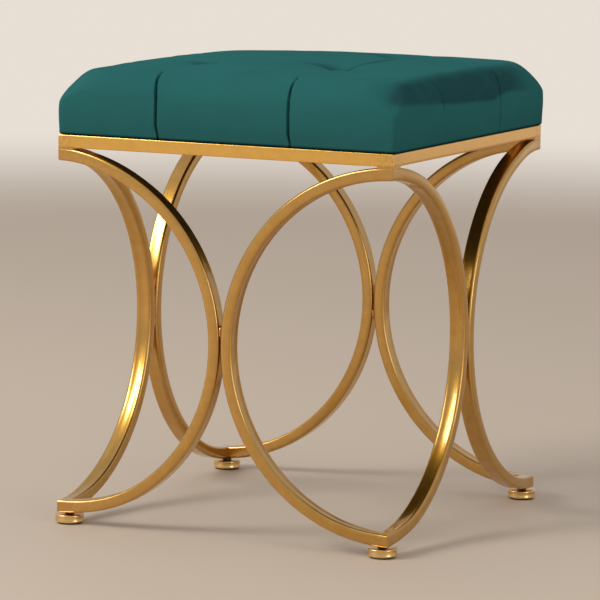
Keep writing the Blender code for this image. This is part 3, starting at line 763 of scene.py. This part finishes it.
def build_frame():
    for side in SIDES:
        rail = "rail_" + side
        replace_piece(rail_mesh("tube_" + rail, side), GOLD, "frame", "gold_paint", rail)
        for hand in ("a", "b"):
            arc = "arc_" + side + "_" + hand
            # Arcs and welds take the darker copy of the gold, which is painted shade
            replace_piece(arc_mesh("tube_" + arc, side, hand), SHADED_GOLD, "frame", "gold_paint", arc)
            corner_weld = corner_weld_mesh("corner_weld_" + side + "_" + hand, side, hand)
            replace_piece(corner_weld, SHADED_GOLD, "frame", "gold_weld")
        weld = "weld_" + side
        replace_piece(tack_weld_mesh("tack_" + weld, side), SHADED_GOLD, "frame", "gold_weld", weld)


# Glides


def turned_profile_mesh(name, profile, steps, centre):
    """A closed outline of (radius, height) points turned about an upright axis."""
    points = []
    for step in range(steps):
        angle = 2 * math.pi * step / steps
        x, y = math.cos(angle), math.sin(angle)
        points += [(centre[0] + radius * x, centre[1] + radius * y, z) for radius, z in profile]
    return mesh_of(name, points, ring_faces(steps, len(profile), wrapped=True), GLIDE_SHARP_DEGREES)


def arc_points(centre, radius, start, end, steps):
    """Points of a round in a profile, from one angle to another in degrees."""
    points = []
    for step in range(steps + 1):
        angle = math.radians(start + (end - start) * step / steps)
        points.append((centre[0] + radius * math.cos(angle), centre[1] + radius * math.sin(angle)))
    return points


def glide_outline(radius, base, top, pad_radius, pad_top, head_top):
    """A waisted drum, with pockets for the pad below it and for the stud's head inside."""
    neck = []
    for step in range(1, GLIDE_NECK_STEPS):
        share = step / GLIDE_NECK_STEPS
        drawn_in = GLIDE_NARROWING * share + GLIDE_WAIST * math.sin(math.pi * share ** 0.7) ** 0.8
        down = GLIDE_LIP + share * (top - base - GLIDE_LIP - GLIDE_FOOT)
        neck.append((radius - drawn_in, top - down))
    seat = pad_top + PAD_CLEARANCE
    return (
        [(GLIDE_BORE, top)]
        + arc_points((radius - GLIDE_LIP, top - GLIDE_LIP), GLIDE_LIP, 90, 0, 6)
        + neck
        + arc_points((radius - GLIDE_NARROWING - GLIDE_FOOT, base + GLIDE_FOOT), GLIDE_FOOT, 0, -90, 7)
        + [
            (pad_radius + PAD_CLEARANCE, base),
            (pad_radius + PAD_CLEARANCE, seat),
            (GLIDE_POCKET, seat),
            (GLIDE_POCKET, head_top),
            (GLIDE_BORE, head_top),
        ]
    )


def pad_outline(radius, top):
    """A thin disc with rounded edges and a pinhole."""
    return (
        [(PAD_PINHOLE, top)]
        + arc_points((radius - PAD_EDGE, top - PAD_EDGE), PAD_EDGE, 90, 0, 3)
        + arc_points((radius - PAD_EDGE, PAD_EDGE), PAD_EDGE, 0, -90, 3)
        + [(PAD_PINHOLE, 0.0)]
    )


def build_glides():
    for corner in CORNERS:
        body = "foot_disc_" + corner
        low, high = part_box(body)
        pad_low, pad_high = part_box("foot_pad_" + corner)
        head_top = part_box("foot_stud_" + corner)[0][2] + STUD_HEAD
        centre = ((low[0] + high[0]) / 2, (low[1] + high[1]) / 2)
        radius = (high[0] - low[0]) / 2 + GLIDE_SPREAD
        pad_radius = (pad_high[0] - pad_low[0]) / 2
        outline = glide_outline(radius, low[2], high[2], pad_radius, pad_high[2], head_top)
        mesh = turned_profile_mesh("glide_" + corner, outline, GLIDE_STEPS, centre)
        replace_piece(mesh, GLIDE_GOLD, body, "gold_glide", body)
        outline = pad_outline(pad_radius, pad_high[2])
        mesh = turned_profile_mesh("glide_pad_" + corner, outline, PAD_STEPS, centre)
        replace_piece(mesh, RUBBER, body, "black_rubber", "foot_pad_" + corner)


# Cushion


def seat_lines():
    """Places of the mesh lines across the seat: close at the rolled edges and the creases."""
    roll_end = SEAT_HALF - EDGE_ROLL
    angles = range(90, 0, -ROLL_STEP_DEGREES)
    roll = [roll_end + EDGE_ROLL * math.sin(math.radians(angle)) for angle in angles]
    outer = list(np.linspace(roll_end, TUFT + FINE_OUTSIDE, OUTER_LINES, endpoint=False))
    near = list(np.linspace(TUFT + FINE_OUTSIDE, TUFT - FINE_INSIDE, CREASE_LINES))
    inner = list(np.linspace(TUFT - FINE_INSIDE, 0, MIDDLE_LINES)[1:])
    lines = roll + outer + near + inner
    return np.array([-line for line in lines[:-1]] + [0.0] + lines[-2::-1])


def roll_over(place):
    return np.clip((np.abs(place) - (SEAT_HALF - EDGE_ROLL)) / EDGE_ROLL, 0, 1)


def roll_drop(place, radius):
    """How far a rolled edge has dropped at a place across the seat."""
    over = np.clip((np.abs(place) - (SEAT_HALF - radius)) / radius, 0, 1)
    return radius * (1 - np.sqrt(1 - over * over))


def base_height(x, y):
    """Height of the seat's top before creases and tufts: rolled edges, and corners that slope away."""
    crown = np.cos(math.pi / 2 * np.minimum(1, np.abs(x) / SEAT_HALF))
    crown = crown * np.cos(math.pi / 2 * np.minimum(1, np.abs(y) / SEAT_HALF))
    drop = np.hypot(roll_drop(x, EDGE_ROLL), roll_drop(y, EDGE_ROLL))
    height = SEAT_TOP + CROWN * crown - np.minimum(EDGE_ROLL, drop)
    rise = (SEAT_HEIGHT - CORNER_WALL_HEIGHT) / CORNER_SLOPE_LENGTH
    along = 2 * SEAT_HALF - np.abs(x) - np.abs(y)
    slope = SEAT_BASE + CORNER_WALL_HEIGHT + rise * along
    corner_drop = np.hypot(roll_drop(x, CORNER_ROLL), roll_drop(y, CORNER_ROLL))
    slope -= np.minimum(CORNER_ROLL, corner_drop)
    share = np.maximum(0, CORNER_BLEND - np.abs(height - slope)) / CORNER_BLEND
    blended = np.minimum(height, slope) - CORNER_BLEND * share * share / 4
    return blended + SEAT_TILT * x / SEAT_HALF


def wall_out(level):
    """How far a wall stands out past the rail, from its base at 0 to the rolled edge at 1."""
    return OVERHANG - DRAW_IN * np.where(level > 0.5, 1.0, 0.4) * (2 * level - 1) ** 4


def slit(across, wall, rise):
    """Depth, from 0 to 1, of a folded pleat: a steep lip, and a tuck and ridge on its other side.

    Below 0 it stands proud. On the seat's top it is a plain pinch."""
    width = SLIT_WIDTH * (1 + smooth(0, 0.35, rise)) * (1 - 0.4 * smooth(0.7, 1.1, rise))
    lip = 1 - smooth(*SLIT_LIP, across)
    far = smooth(-width - SLIT_SOFTNESS, -width, across)
    folded = np.minimum(lip, far)
    before = np.maximum(0, -(across + width + SLIT_SOFTNESS))
    ridge = RIDGE * (1 - smooth(0.7, 1.05, rise)) * np.exp(-(before / RIDGE_REACH) ** 1.6)
    from_tuck = across + width + TUCK_FROM_SLIT
    tuck = TUCK * (1 - smooth(0.2, 0.5, rise)) * np.exp(-(from_tuck / TUCK_REACH) ** 2)
    pinch = np.exp(-np.abs(across / PINCH_REACH) ** 1.4)
    return wall * (folded + (tuck - ridge) * (1 - folded)) + (1 - wall) * pinch


def stronger(first, second):
    """Of two depths at each place, the one that is further from nothing."""
    return np.where(np.abs(second) > np.abs(first), second, first)


def crease_depth(line, other, wall, rise, turn, faded, bowed):
    """Depth of two creases and of the pleats that they end in. Line is the place across them.

    Each pleat stands off its crease's line, hooks over at its top and ends there. On the faded
    side the pleats are slighter and lean at their tops, and the first dies away down the wall.
    The second of the bowed creases swings out between its tufts."""
    depth = np.zeros_like(line)
    from_tuft = other - np.where(other < 0, -TUFT, TUFT)
    reach = np.where(bowed | (from_tuft > 0), CREASE_SHORT_REACH, CREASE_LONG_REACH)
    top = CREASE + CREASE_AT_TUFT * np.exp(-np.abs(from_tuft / reach) ** 1.5)
    between = np.cos(np.clip(other / TUFT, -1, 1) * math.pi / 2)
    tall = PLEAT_DEPTH * (0.6 + 0.4 * smooth(0, 0.3, rise))
    hooked = smooth(0.7, 1.3, rise)
    foot = PLEAT_FOOT * (1 - smooth(0, 0.25, rise))
    from_roll = np.maximum(0, SEAT_HALF - EDGE_ROLL + PLEAT_STAND_FROM - np.abs(other))
    beside = np.exp(-(from_roll / PLEAT_STAND_REACH) ** 2)
    carried = PLEAT_CARRIED * np.exp(-(from_roll / PLEAT_CARRIED_REACH) ** 2) * ~faded
    leans = (
        2 * MM - 9 * MM * smooth(0.75, 1.2, rise),
        -5 * MM + 5 * MM * smooth(0.95, 1.2, rise),
    )
    shares = (0.05 + 0.15 * smooth(0.5, 0.72, rise), 0.5)
    for (centre, off_line, hook, highest), lean, share in zip(PLEATS, leans, shares):
        wander = CREASE_WANDER * np.sin(other / CREASE_WANDER_WAVE + 40 * centre)
        swing = BOWED_CREASE * between * (bowed & (centre > 0))
        stand = np.where(faded, lean, (off_line + foot - hook * hooked) * turn)
        shift = wander + swing + (stand - wander - swing) * np.where(faded, wall, beside)
        across = (line - centre - shift) * turn
        on_wall = tall * np.where(faded, share, 1.0) * (1 - smooth(highest - 0.08, highest, rise))
        on_top = top + carried + BOWED_DEEPER * between * (bowed & (centre > 0))
        strength = wall * on_wall + (1 - wall) * on_top
        depth = stronger(depth, strength * slit(across, wall, rise))
    return depth


def soft_dip(x, y):
    """Broad hollows along the creases and round the tufts, which leave the panels puffed."""
    across = np.abs(np.abs(x) - TUFT)
    along = np.abs(np.abs(y) - TUFT)
    inside = (1 - roll_over(x)) * (1 - roll_over(y))
    valleys = VALLEY * (np.exp(-across / VALLEY_REACH) + np.exp(-along / VALLEY_REACH))
    from_tuft = np.hypot(across, along)
    tufts = TUFT_DIP * np.exp(-(from_tuft / TUFT_DIP_REACH) ** 1.3)
    pulled = TUFT_PULL * np.exp(-(from_tuft / TUFT_PULL_REACH) ** 2)
    return valleys * inside + tufts + pulled


def skin_grid(lines, levels, with_return):
    """Home places, levels and faces of a skin over the seat's top and down its walls."""
    count = len(lines)
    grid_x, grid_y = np.meshgrid(lines, lines, indexing="ij")
    faces = grid_faces(count)
    border = grid_border(count)
    previous = [i * count + j for i, j in border]
    ring_x = np.array([lines[i] for i, _ in border])
    ring_y = np.array([lines[j] for _, j in border])
    steps = [(level, 0.0) for level in levels]
    if with_return:
        steps += [(0.0, share) for share in np.linspace(0, 2, RETURN_LEVELS + 1)[1:]]
    places = [np.stack([grid_x.ravel(), grid_y.ravel(), np.ones(count ** 2), np.zeros(count ** 2)])]
    start = count ** 2
    around = len(border)
    for level, under in steps:
        places.append(np.stack([ring_x, ring_y, np.full(around, level), np.full(around, under)]))
        current = list(range(start, start + around))
        faces += band_faces(previous, current)
        start += around
        previous = current
    if not with_return:
        faces.append(tuple(previous))
    return np.concatenate(places, axis=1), faces


def seat_form(places):
    """The seat's taut form, before it is puffed and creased: its points and how each faces."""
    x, y, level, under = places
    on_x = np.abs(x) >= SEAT_HALF - 1e-9
    on_y = np.abs(y) >= SEAT_HALF - 1e-9
    edge = on_x | on_y
    top_z = base_height(x, y)
    plan_x, plan_y = rounded_corners(x, y, SEAT_HALF, CORNER_PLAN_RADIUS)
    lean_x = np.where(on_x, 1.0, roll_over(x)) * np.sign(x)
    lean_y = np.where(on_y, 1.0, roll_over(y)) * np.sign(y)
    lean = np.hypot(lean_x, lean_y)
    flat = np.minimum(1, lean)
    normal = np.stack([lean_x, lean_y, np.sqrt(1 - flat ** 2)], axis=1)
    normal /= np.linalg.norm(normal, axis=1)[:, None]
    base_z = SEAT_BASE + BOTTOM_RADIUS
    turn = np.minimum(under, 1) * math.pi / 2
    z = np.where(edge, base_z + (top_z - base_z) * level, top_z) - BOTTOM_RADIUS * np.sin(turn)
    out = np.where(edge, wall_out(level), wall_out(1.0) * flat) / np.maximum(1, lean)
    inward = BOTTOM_RADIUS * (1 - np.cos(turn)) + np.maximum(under - 1, 0) * (UNDER_REACH - BOTTOM_RADIUS)
    px = plan_x * (1 - inward / SEAT_HALF) + out * lean_x
    py = plan_y * (1 - inward / SEAT_HALF) + out * lean_y
    points = np.stack([px + SEAT_SHIFT, py, z], axis=1)
    points -= normal * (soft_dip(x, y) * (1 - np.minimum(1, under)))[:, None]
    return points, normal, lean_x, lean_y, flat


def inflated(points, faces, pinned):
    """Points of a closed cloth after a short simulation with air in it."""
    shell = link("inflated_shell", mesh_of("inflated_shell", points, faces))
    group = shell.vertex_groups.new(name="pinned")
    for place, weight in enumerate(pinned):
        group.add([place], float(weight), "REPLACE")
    cloth = shell.modifiers.new("cloth", "CLOTH")
    cloth.settings.quality = 6
    cloth.settings.mass = 0.3
    cloth.settings.tension_stiffness = 12
    cloth.settings.compression_stiffness = 12
    cloth.settings.bending_stiffness = 0.3
    cloth.settings.shrink_min = -0.012
    cloth.settings.use_pressure = True
    cloth.settings.uniform_pressure_force = 4
    cloth.settings.vertex_group_mass = "pinned"
    cloth.settings.effector_weights.gravity = 0
    cloth.collision_settings.use_collision = False
    for number in range(1, INFLATE_FRAMES + 1):
        bpy.context.scene.frame_set(number)
    puffed = shell.evaluated_get(bpy.context.evaluated_depsgraph_get())
    found = np.array([vert.co for vert in puffed.data.vertices])
    bpy.data.objects.remove(shell)
    bpy.context.scene.frame_set(1)
    return found


def puff_offsets(points):
    """How far the air in the seat moves each point, found on a coarser skin."""
    lines = np.linspace(-SEAT_HALF, SEAT_HALF, INFLATE_LINES)
    places, faces = skin_grid(lines, np.linspace(1, 0, INFLATE_LEVELS + 1)[1:], False)
    taut = seat_form(places)[0]
    x, y, level, _ = places
    across = np.abs(np.abs(x) - TUFT)
    along = np.abs(np.abs(y) - TUFT)
    by_crease = CREASE_PIN * (np.minimum(across, along) < PINNED_BY_CREASE)
    by_tuft = 1.0 * (np.hypot(across, along) < PINNED_BY_TUFT)
    pinned = np.maximum(np.maximum(by_crease, by_tuft), 1 - smooth(0.0, 0.2, level))
    moved = inflated(taut, faces, pinned) - taut
    far = np.linalg.norm(moved, axis=1)
    moved *= (np.minimum(far, MOST_PUFF) / np.maximum(far, 1e-9))[:, None]
    tree = kdtree.KDTree(len(taut))
    for place, point in enumerate(taut):
        tree.insert(point, place)
    tree.balance()
    offsets = np.zeros_like(points)
    for place, point in enumerate(points):
        near = tree.find_n(point, PUFF_NEIGHBOURS)
        weights = np.array([math.exp(-(distance / PUFF_SPREAD) ** 2) for _, _, distance in near])
        ends = np.array([moved[index] for _, index, _ in near])
        offsets[place] = (ends * weights[:, None]).sum(axis=0) / weights.sum()
    return offsets


def cushion_mesh(name):
    places, faces = skin_grid(seat_lines(), np.linspace(1, 0, WALL_LEVELS + 1)[1:], True)
    x, y, _, under = places
    points, normal, lean_x, lean_y, flat = seat_form(places)
    kept = 1 - np.minimum(1, under)
    points += puff_offsets(points) * kept[:, None]
    rise = (points[:, 2] - SEAT_BASE - BOTTOM_RADIUS) / PLEAT_RISE
    wall = smooth(0.25, 0.7, flat)
    on_y = wall * smooth(0.2, 0.7, np.abs(lean_y))
    on_x = wall * smooth(0.2, 0.7, np.abs(lean_x))
    nowhere = np.zeros(len(x), dtype=bool)
    # A pleat folds the same way round on each side of the seat
    depth = stronger(
        crease_depth(x, y, on_y, rise, np.where(y < 0, 1, -1), faded=nowhere, bowed=~nowhere),
        crease_depth(y, x, on_x, rise, np.where(x > 0, 1, -1), faded=x > 0, bowed=nowhere),
    )
    depth = depth * (1 - smooth(0.0, 1.6, under))
    ripple = sum(noise_field(points, scale, seed) * high for scale, seed, high in RIPPLES)
    points -= normal * (depth + ripple * kept)[:, None]
    mesh = mesh_of(name, points, faces)
    # Painted shade in the creases on the top and in the hollows behind tufts, kept in one attribute with
    # the darker marks of pile lying the other way
    crease_shade = smooth(0.5 * MM, 2.0 * MM, depth) * (1 - wall)
    marks = nap_band_and_low_marks(y, points[:, 2], lean_x, lean_y) * (1 + 0.25 * noise_field(points, 60, 8))
    add_attribute(mesh, "nap_and_painted_shade", np.maximum(np.maximum(crease_shade, hollow_shade_marks(x, y)), marks))
    # Painted shadow along the cushion's base, where it sits on the rail
    above_base = points[:, 2] - SEAT_BASE
    add_attribute(mesh, "base_shadow", BASE_SHADOW_MARK * (1 - smooth(*BASE_SHADOW_HEIGHTS, above_base)))
    return mesh


def hollow_shade_marks(x, y):
    """Painted shade in the hollows behind three of the tufts."""
    marks = np.zeros_like(x)
    for tuft_x, tuft_y, left, reach in SHADED_HOLLOWS:
        along = (x - tuft_x + left) / reach
        behind = y - tuft_y
        mark = HOLLOW_SHADE * np.exp(-along ** 2) * smooth(-6 * MM, -3 * MM, behind)
        marks = np.maximum(marks, mark * (1 - smooth(3 * MM, 16 * MM, behind)))
    return marks


def nap_band_and_low_marks(y, z, lean_x, lean_y):
    """Where the pile looks darker.

    There is a band below the right side's top edge, where it lies the other way, and a faint darkening
    low on every wall."""
    along = y + SEAT_HALF
    edge = SEAT_BASE + BAND_HEIGHT - BAND_FALL * along + BAND_JOG * smooth(*BAND_JOG_ALONG, along)
    edge += BAND_WAVE * np.sin(along / (19 * MM)) * np.sin(along / (47 * MM) + 1)
    band = smooth(-BAND_SOFTNESS, BAND_SOFTNESS, z - edge) * smooth(0.1, 0.65, lean_x)
    band *= (1 - smooth(*BAND_END, along)) * (0.84 + 0.16 * smooth(85 * MM, 110 * MM, along))
    rim = np.exp(-((lean_x - 0.62) / 0.14) ** 2) * (1 - smooth(70 * MM, 110 * MM, along))
    band += 0.2 * rim * smooth(0.5, 0.9, band)
    band *= 1 - 0.85 * smooth(0.25, 0.85, np.abs(lean_y)) * (y < 0)
    low = LOW_MARK * (1 - smooth(SEAT_BASE, SEAT_BASE + LOW_MARK_HEIGHT, z))
    return np.maximum(band, low)


def foam_mesh(name):
    """Foam block under the cover, following its crown and rolled edge."""
    left = -np.linspace(1, 0.0, FOAM_LINES)[:-1] ** FOAM_SPACING
    lines = np.concatenate([left, np.linspace(0, 1, FOAM_LINES) ** FOAM_SPACING])
    half = SEAT_HALF - FOAM_INSET
    count = len(lines)
    grid_x, grid_y = np.meshgrid(lines * half, lines * half, indexing="ij")
    height = base_height(grid_x, grid_y) - FOAM_INSET - soft_dip(grid_x, grid_y)
    top = np.stack([grid_x.ravel(), grid_y.ravel(), height.ravel()], axis=1)
    bottom = top.copy()
    bottom[:, 2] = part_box("foam_pad")[0][2]
    size = count * count
    faces = []
    for quad in grid_faces(count):
        faces.append(quad)
        faces.append(tuple(size + place for place in reversed(quad)))
    ring = [i * count + j for i, j in grid_border(count)]
    faces += band_faces(ring, [size + place for place in ring])
    return mesh_of(name, np.concatenate([top, bottom]), faces, FOAM_SHARP_DEGREES)


def build_seat():
    cushion = replace_piece(cushion_mesh("velvet_cushion"), VELVET, "frame", "teal_velvet", "seat_cover")
    cloth = cushion.modifiers.new("cloth", "SOLIDIFY")
    cloth.thickness = COVER_THICKNESS
    cloth.offset = -1
    foam = replace_piece(foam_mesh("foam_block"), FOAM, "frame", "foam", "foam_pad")


def build_dust_cloth():
    """Cloth stapled flat under the board, slack between its staples and clear of the plates."""
    low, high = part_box("dust_cover")
    places = np.linspace(-1, 1, DUST_LINES)
    grid_x, grid_y = (grid.ravel() for grid in np.meshgrid(places, places, indexing="ij"))
    half_x, half_y = (high[0] - low[0]) / 2, (high[1] - low[1]) / 2
    free = (1 - grid_x ** 2) * (1 - grid_y ** 2)
    clear = smooth(0.06, 0.16, 2 - np.abs(grid_x) - np.abs(grid_y))
    points = np.stack([grid_x * half_x, grid_y * half_y, np.full_like(grid_x, high[2])], axis=1)
    sag = free * clear * (DUST_SAG + DUST_SAG_CHANGE * noise_field(points, 18, 7))
    points[:, 2] -= DUST_GAP + sag
    mesh = mesh_of("dust_cloth_sheet", points, grid_faces(DUST_LINES))
    cloth = replace_piece(mesh, DUST_CLOTH, "frame", "dust_cloth", "dust_cover")
    shell = cloth.modifiers.new("cloth", "SOLIDIFY")
    shell.thickness = DUST_THICKNESS


def dress_kept_nodes():
    """Materials for the CAD pieces whose own shape is right."""
    finishes = {
        "corner_plate_": GOLD,
        "seat_screw_": ZINC,
        "tee_nut_": ZINC,
        # Black as painted shade for the dark gap above each glide
        "rivet_nut_": GAP_SHADE_STEEL,
        "foot_stud_": GOLD,
        "tuft_tie_": TWINE,
    }
    for prefix, material in finishes.items():
        for corner in CORNERS:
            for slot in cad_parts[prefix + corner].material_slots:
                slot.material = material
    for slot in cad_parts["seat_board"].material_slots:
        slot.material = PLYWOOD


# Floor, lights and camera


def build_stage():
    """A wide round pale floor that turns into a paler backdrop far from the centre."""
    points = [(0, 0, 0)]
    for step in range(FLOOR_STEPS):
        angle = 2 * math.pi * step / FLOOR_STEPS
        points.append((FLOOR_RADIUS * math.cos(angle), FLOOR_RADIUS * math.sin(angle), 0))
    faces = [(0, 1 + step, 1 + (step + 1) % FLOOR_STEPS) for step in range(FLOOR_STEPS)]
    floor = link("studio_floor", mesh_of("studio_floor", points, faces))
    material, tree, shader = new_material("pale_floor", {
        "Base Color": (*FLOOR_COLOUR, 1.0),
        "Roughness": FLOOR_ROUGHNESS,
    })
    away = add_node(tree, "ShaderNodeVectorMath", operation="LENGTH")
    tree.links.new(object_coords(tree), away.inputs[0])
    distances = {"From Min": BACKDROP_START, "From Max": BACKDROP_END}
    far = add_node(tree, "ShaderNodeMapRange", interpolation_type="SMOOTHSTEP", **distances)
    tree.links.new(away.outputs["Value"], far.inputs["Value"])
    path = add_node(tree, "ShaderNodeLightPath")
    seen = add_math(tree, "MAXIMUM", path.outputs["Is Camera Ray"], path.outputs["Is Glossy Ray"])
    seen = add_math(tree, "MAXIMUM", seen, path.outputs["Is Transmission Ray"])
    backdrop = add_node(tree, "ShaderNodeEmission", Color=(*BACKDROP_COLOUR, 1.0), Strength=1.0)
    blend = add_node(tree, "ShaderNodeMixShader")
    tree.links.new(add_math(tree, "MULTIPLY", far.outputs["Result"], seen), blend.inputs[0])
    tree.links.new(shader.outputs[0], blend.inputs[1])
    tree.links.new(backdrop.outputs[0], blend.inputs[2])
    tree.links.new(blend.outputs[0], tree.nodes["Material Output"].inputs["Surface"])
    floor.data.materials.append(material)


def add_area_light(name, place, target, size, power, colour):
    data = bpy.data.lights.new(name, "AREA")
    data.shape = "RECTANGLE"
    data.size, data.size_y = size
    data.energy = power
    data.color = colour
    light = link(name, data)
    light.location = place
    light.rotation_euler = (Vector(target) - Vector(place)).to_track_quat("-Z", "Y").to_euler()
    light.visible_camera = False


def build_lights():
    world = bpy.data.worlds.new("studio")
    bpy.context.scene.world = world
    world.use_nodes = True
    background = world.node_tree.nodes["Background"]
    background.inputs["Color"].default_value = (*WORLD_COLOUR, 1.0)
    background.inputs["Strength"].default_value = WORLD_STRENGTH
    for name, lamp in LAMPS.items():
        add_area_light(name, *lamp)


def build_camera():
    """A camera turned about the upright axis, raised, rolled, and moved within its own plane."""
    azimuth, elevation = math.radians(CAMERA_AZIMUTH), math.radians(CAMERA_ELEVATION)
    roll = math.radians(CAMERA_ROLL)
    back = Vector((
        math.sin(azimuth) * math.cos(elevation),
        -math.cos(azimuth) * math.cos(elevation),
        math.sin(elevation),
    ))
    level = Vector((math.cos(azimuth), math.sin(azimuth), 0))
    upright = back.cross(level)
    right = math.cos(roll) * level + math.sin(roll) * upright
    up = math.cos(roll) * upright - math.sin(roll) * level
    aim = Vector((0, 0, CAMERA_AIM)) + CAMERA_SHIFT[0] * right + CAMERA_SHIFT[1] * up
    place = aim + CAMERA_DISTANCE * back
    data = bpy.data.cameras.new("camera")
    data.lens = CAMERA_LENS
    data.sensor_width = CAMERA_SENSOR
    camera = link("camera", data)
    columns = Matrix((right, up, back)).transposed().to_4x4()
    camera.matrix_world = Matrix.Translation(place) @ columns
    bpy.context.scene.camera = camera


bpy.context.scene.view_settings.view_transform = "Standard"
build_camera()
build_frame()
build_glides()
build_seat()
build_dust_cloth()
dress_kept_nodes()
build_stage()
build_lights()

bpy.context.view_layer.update()
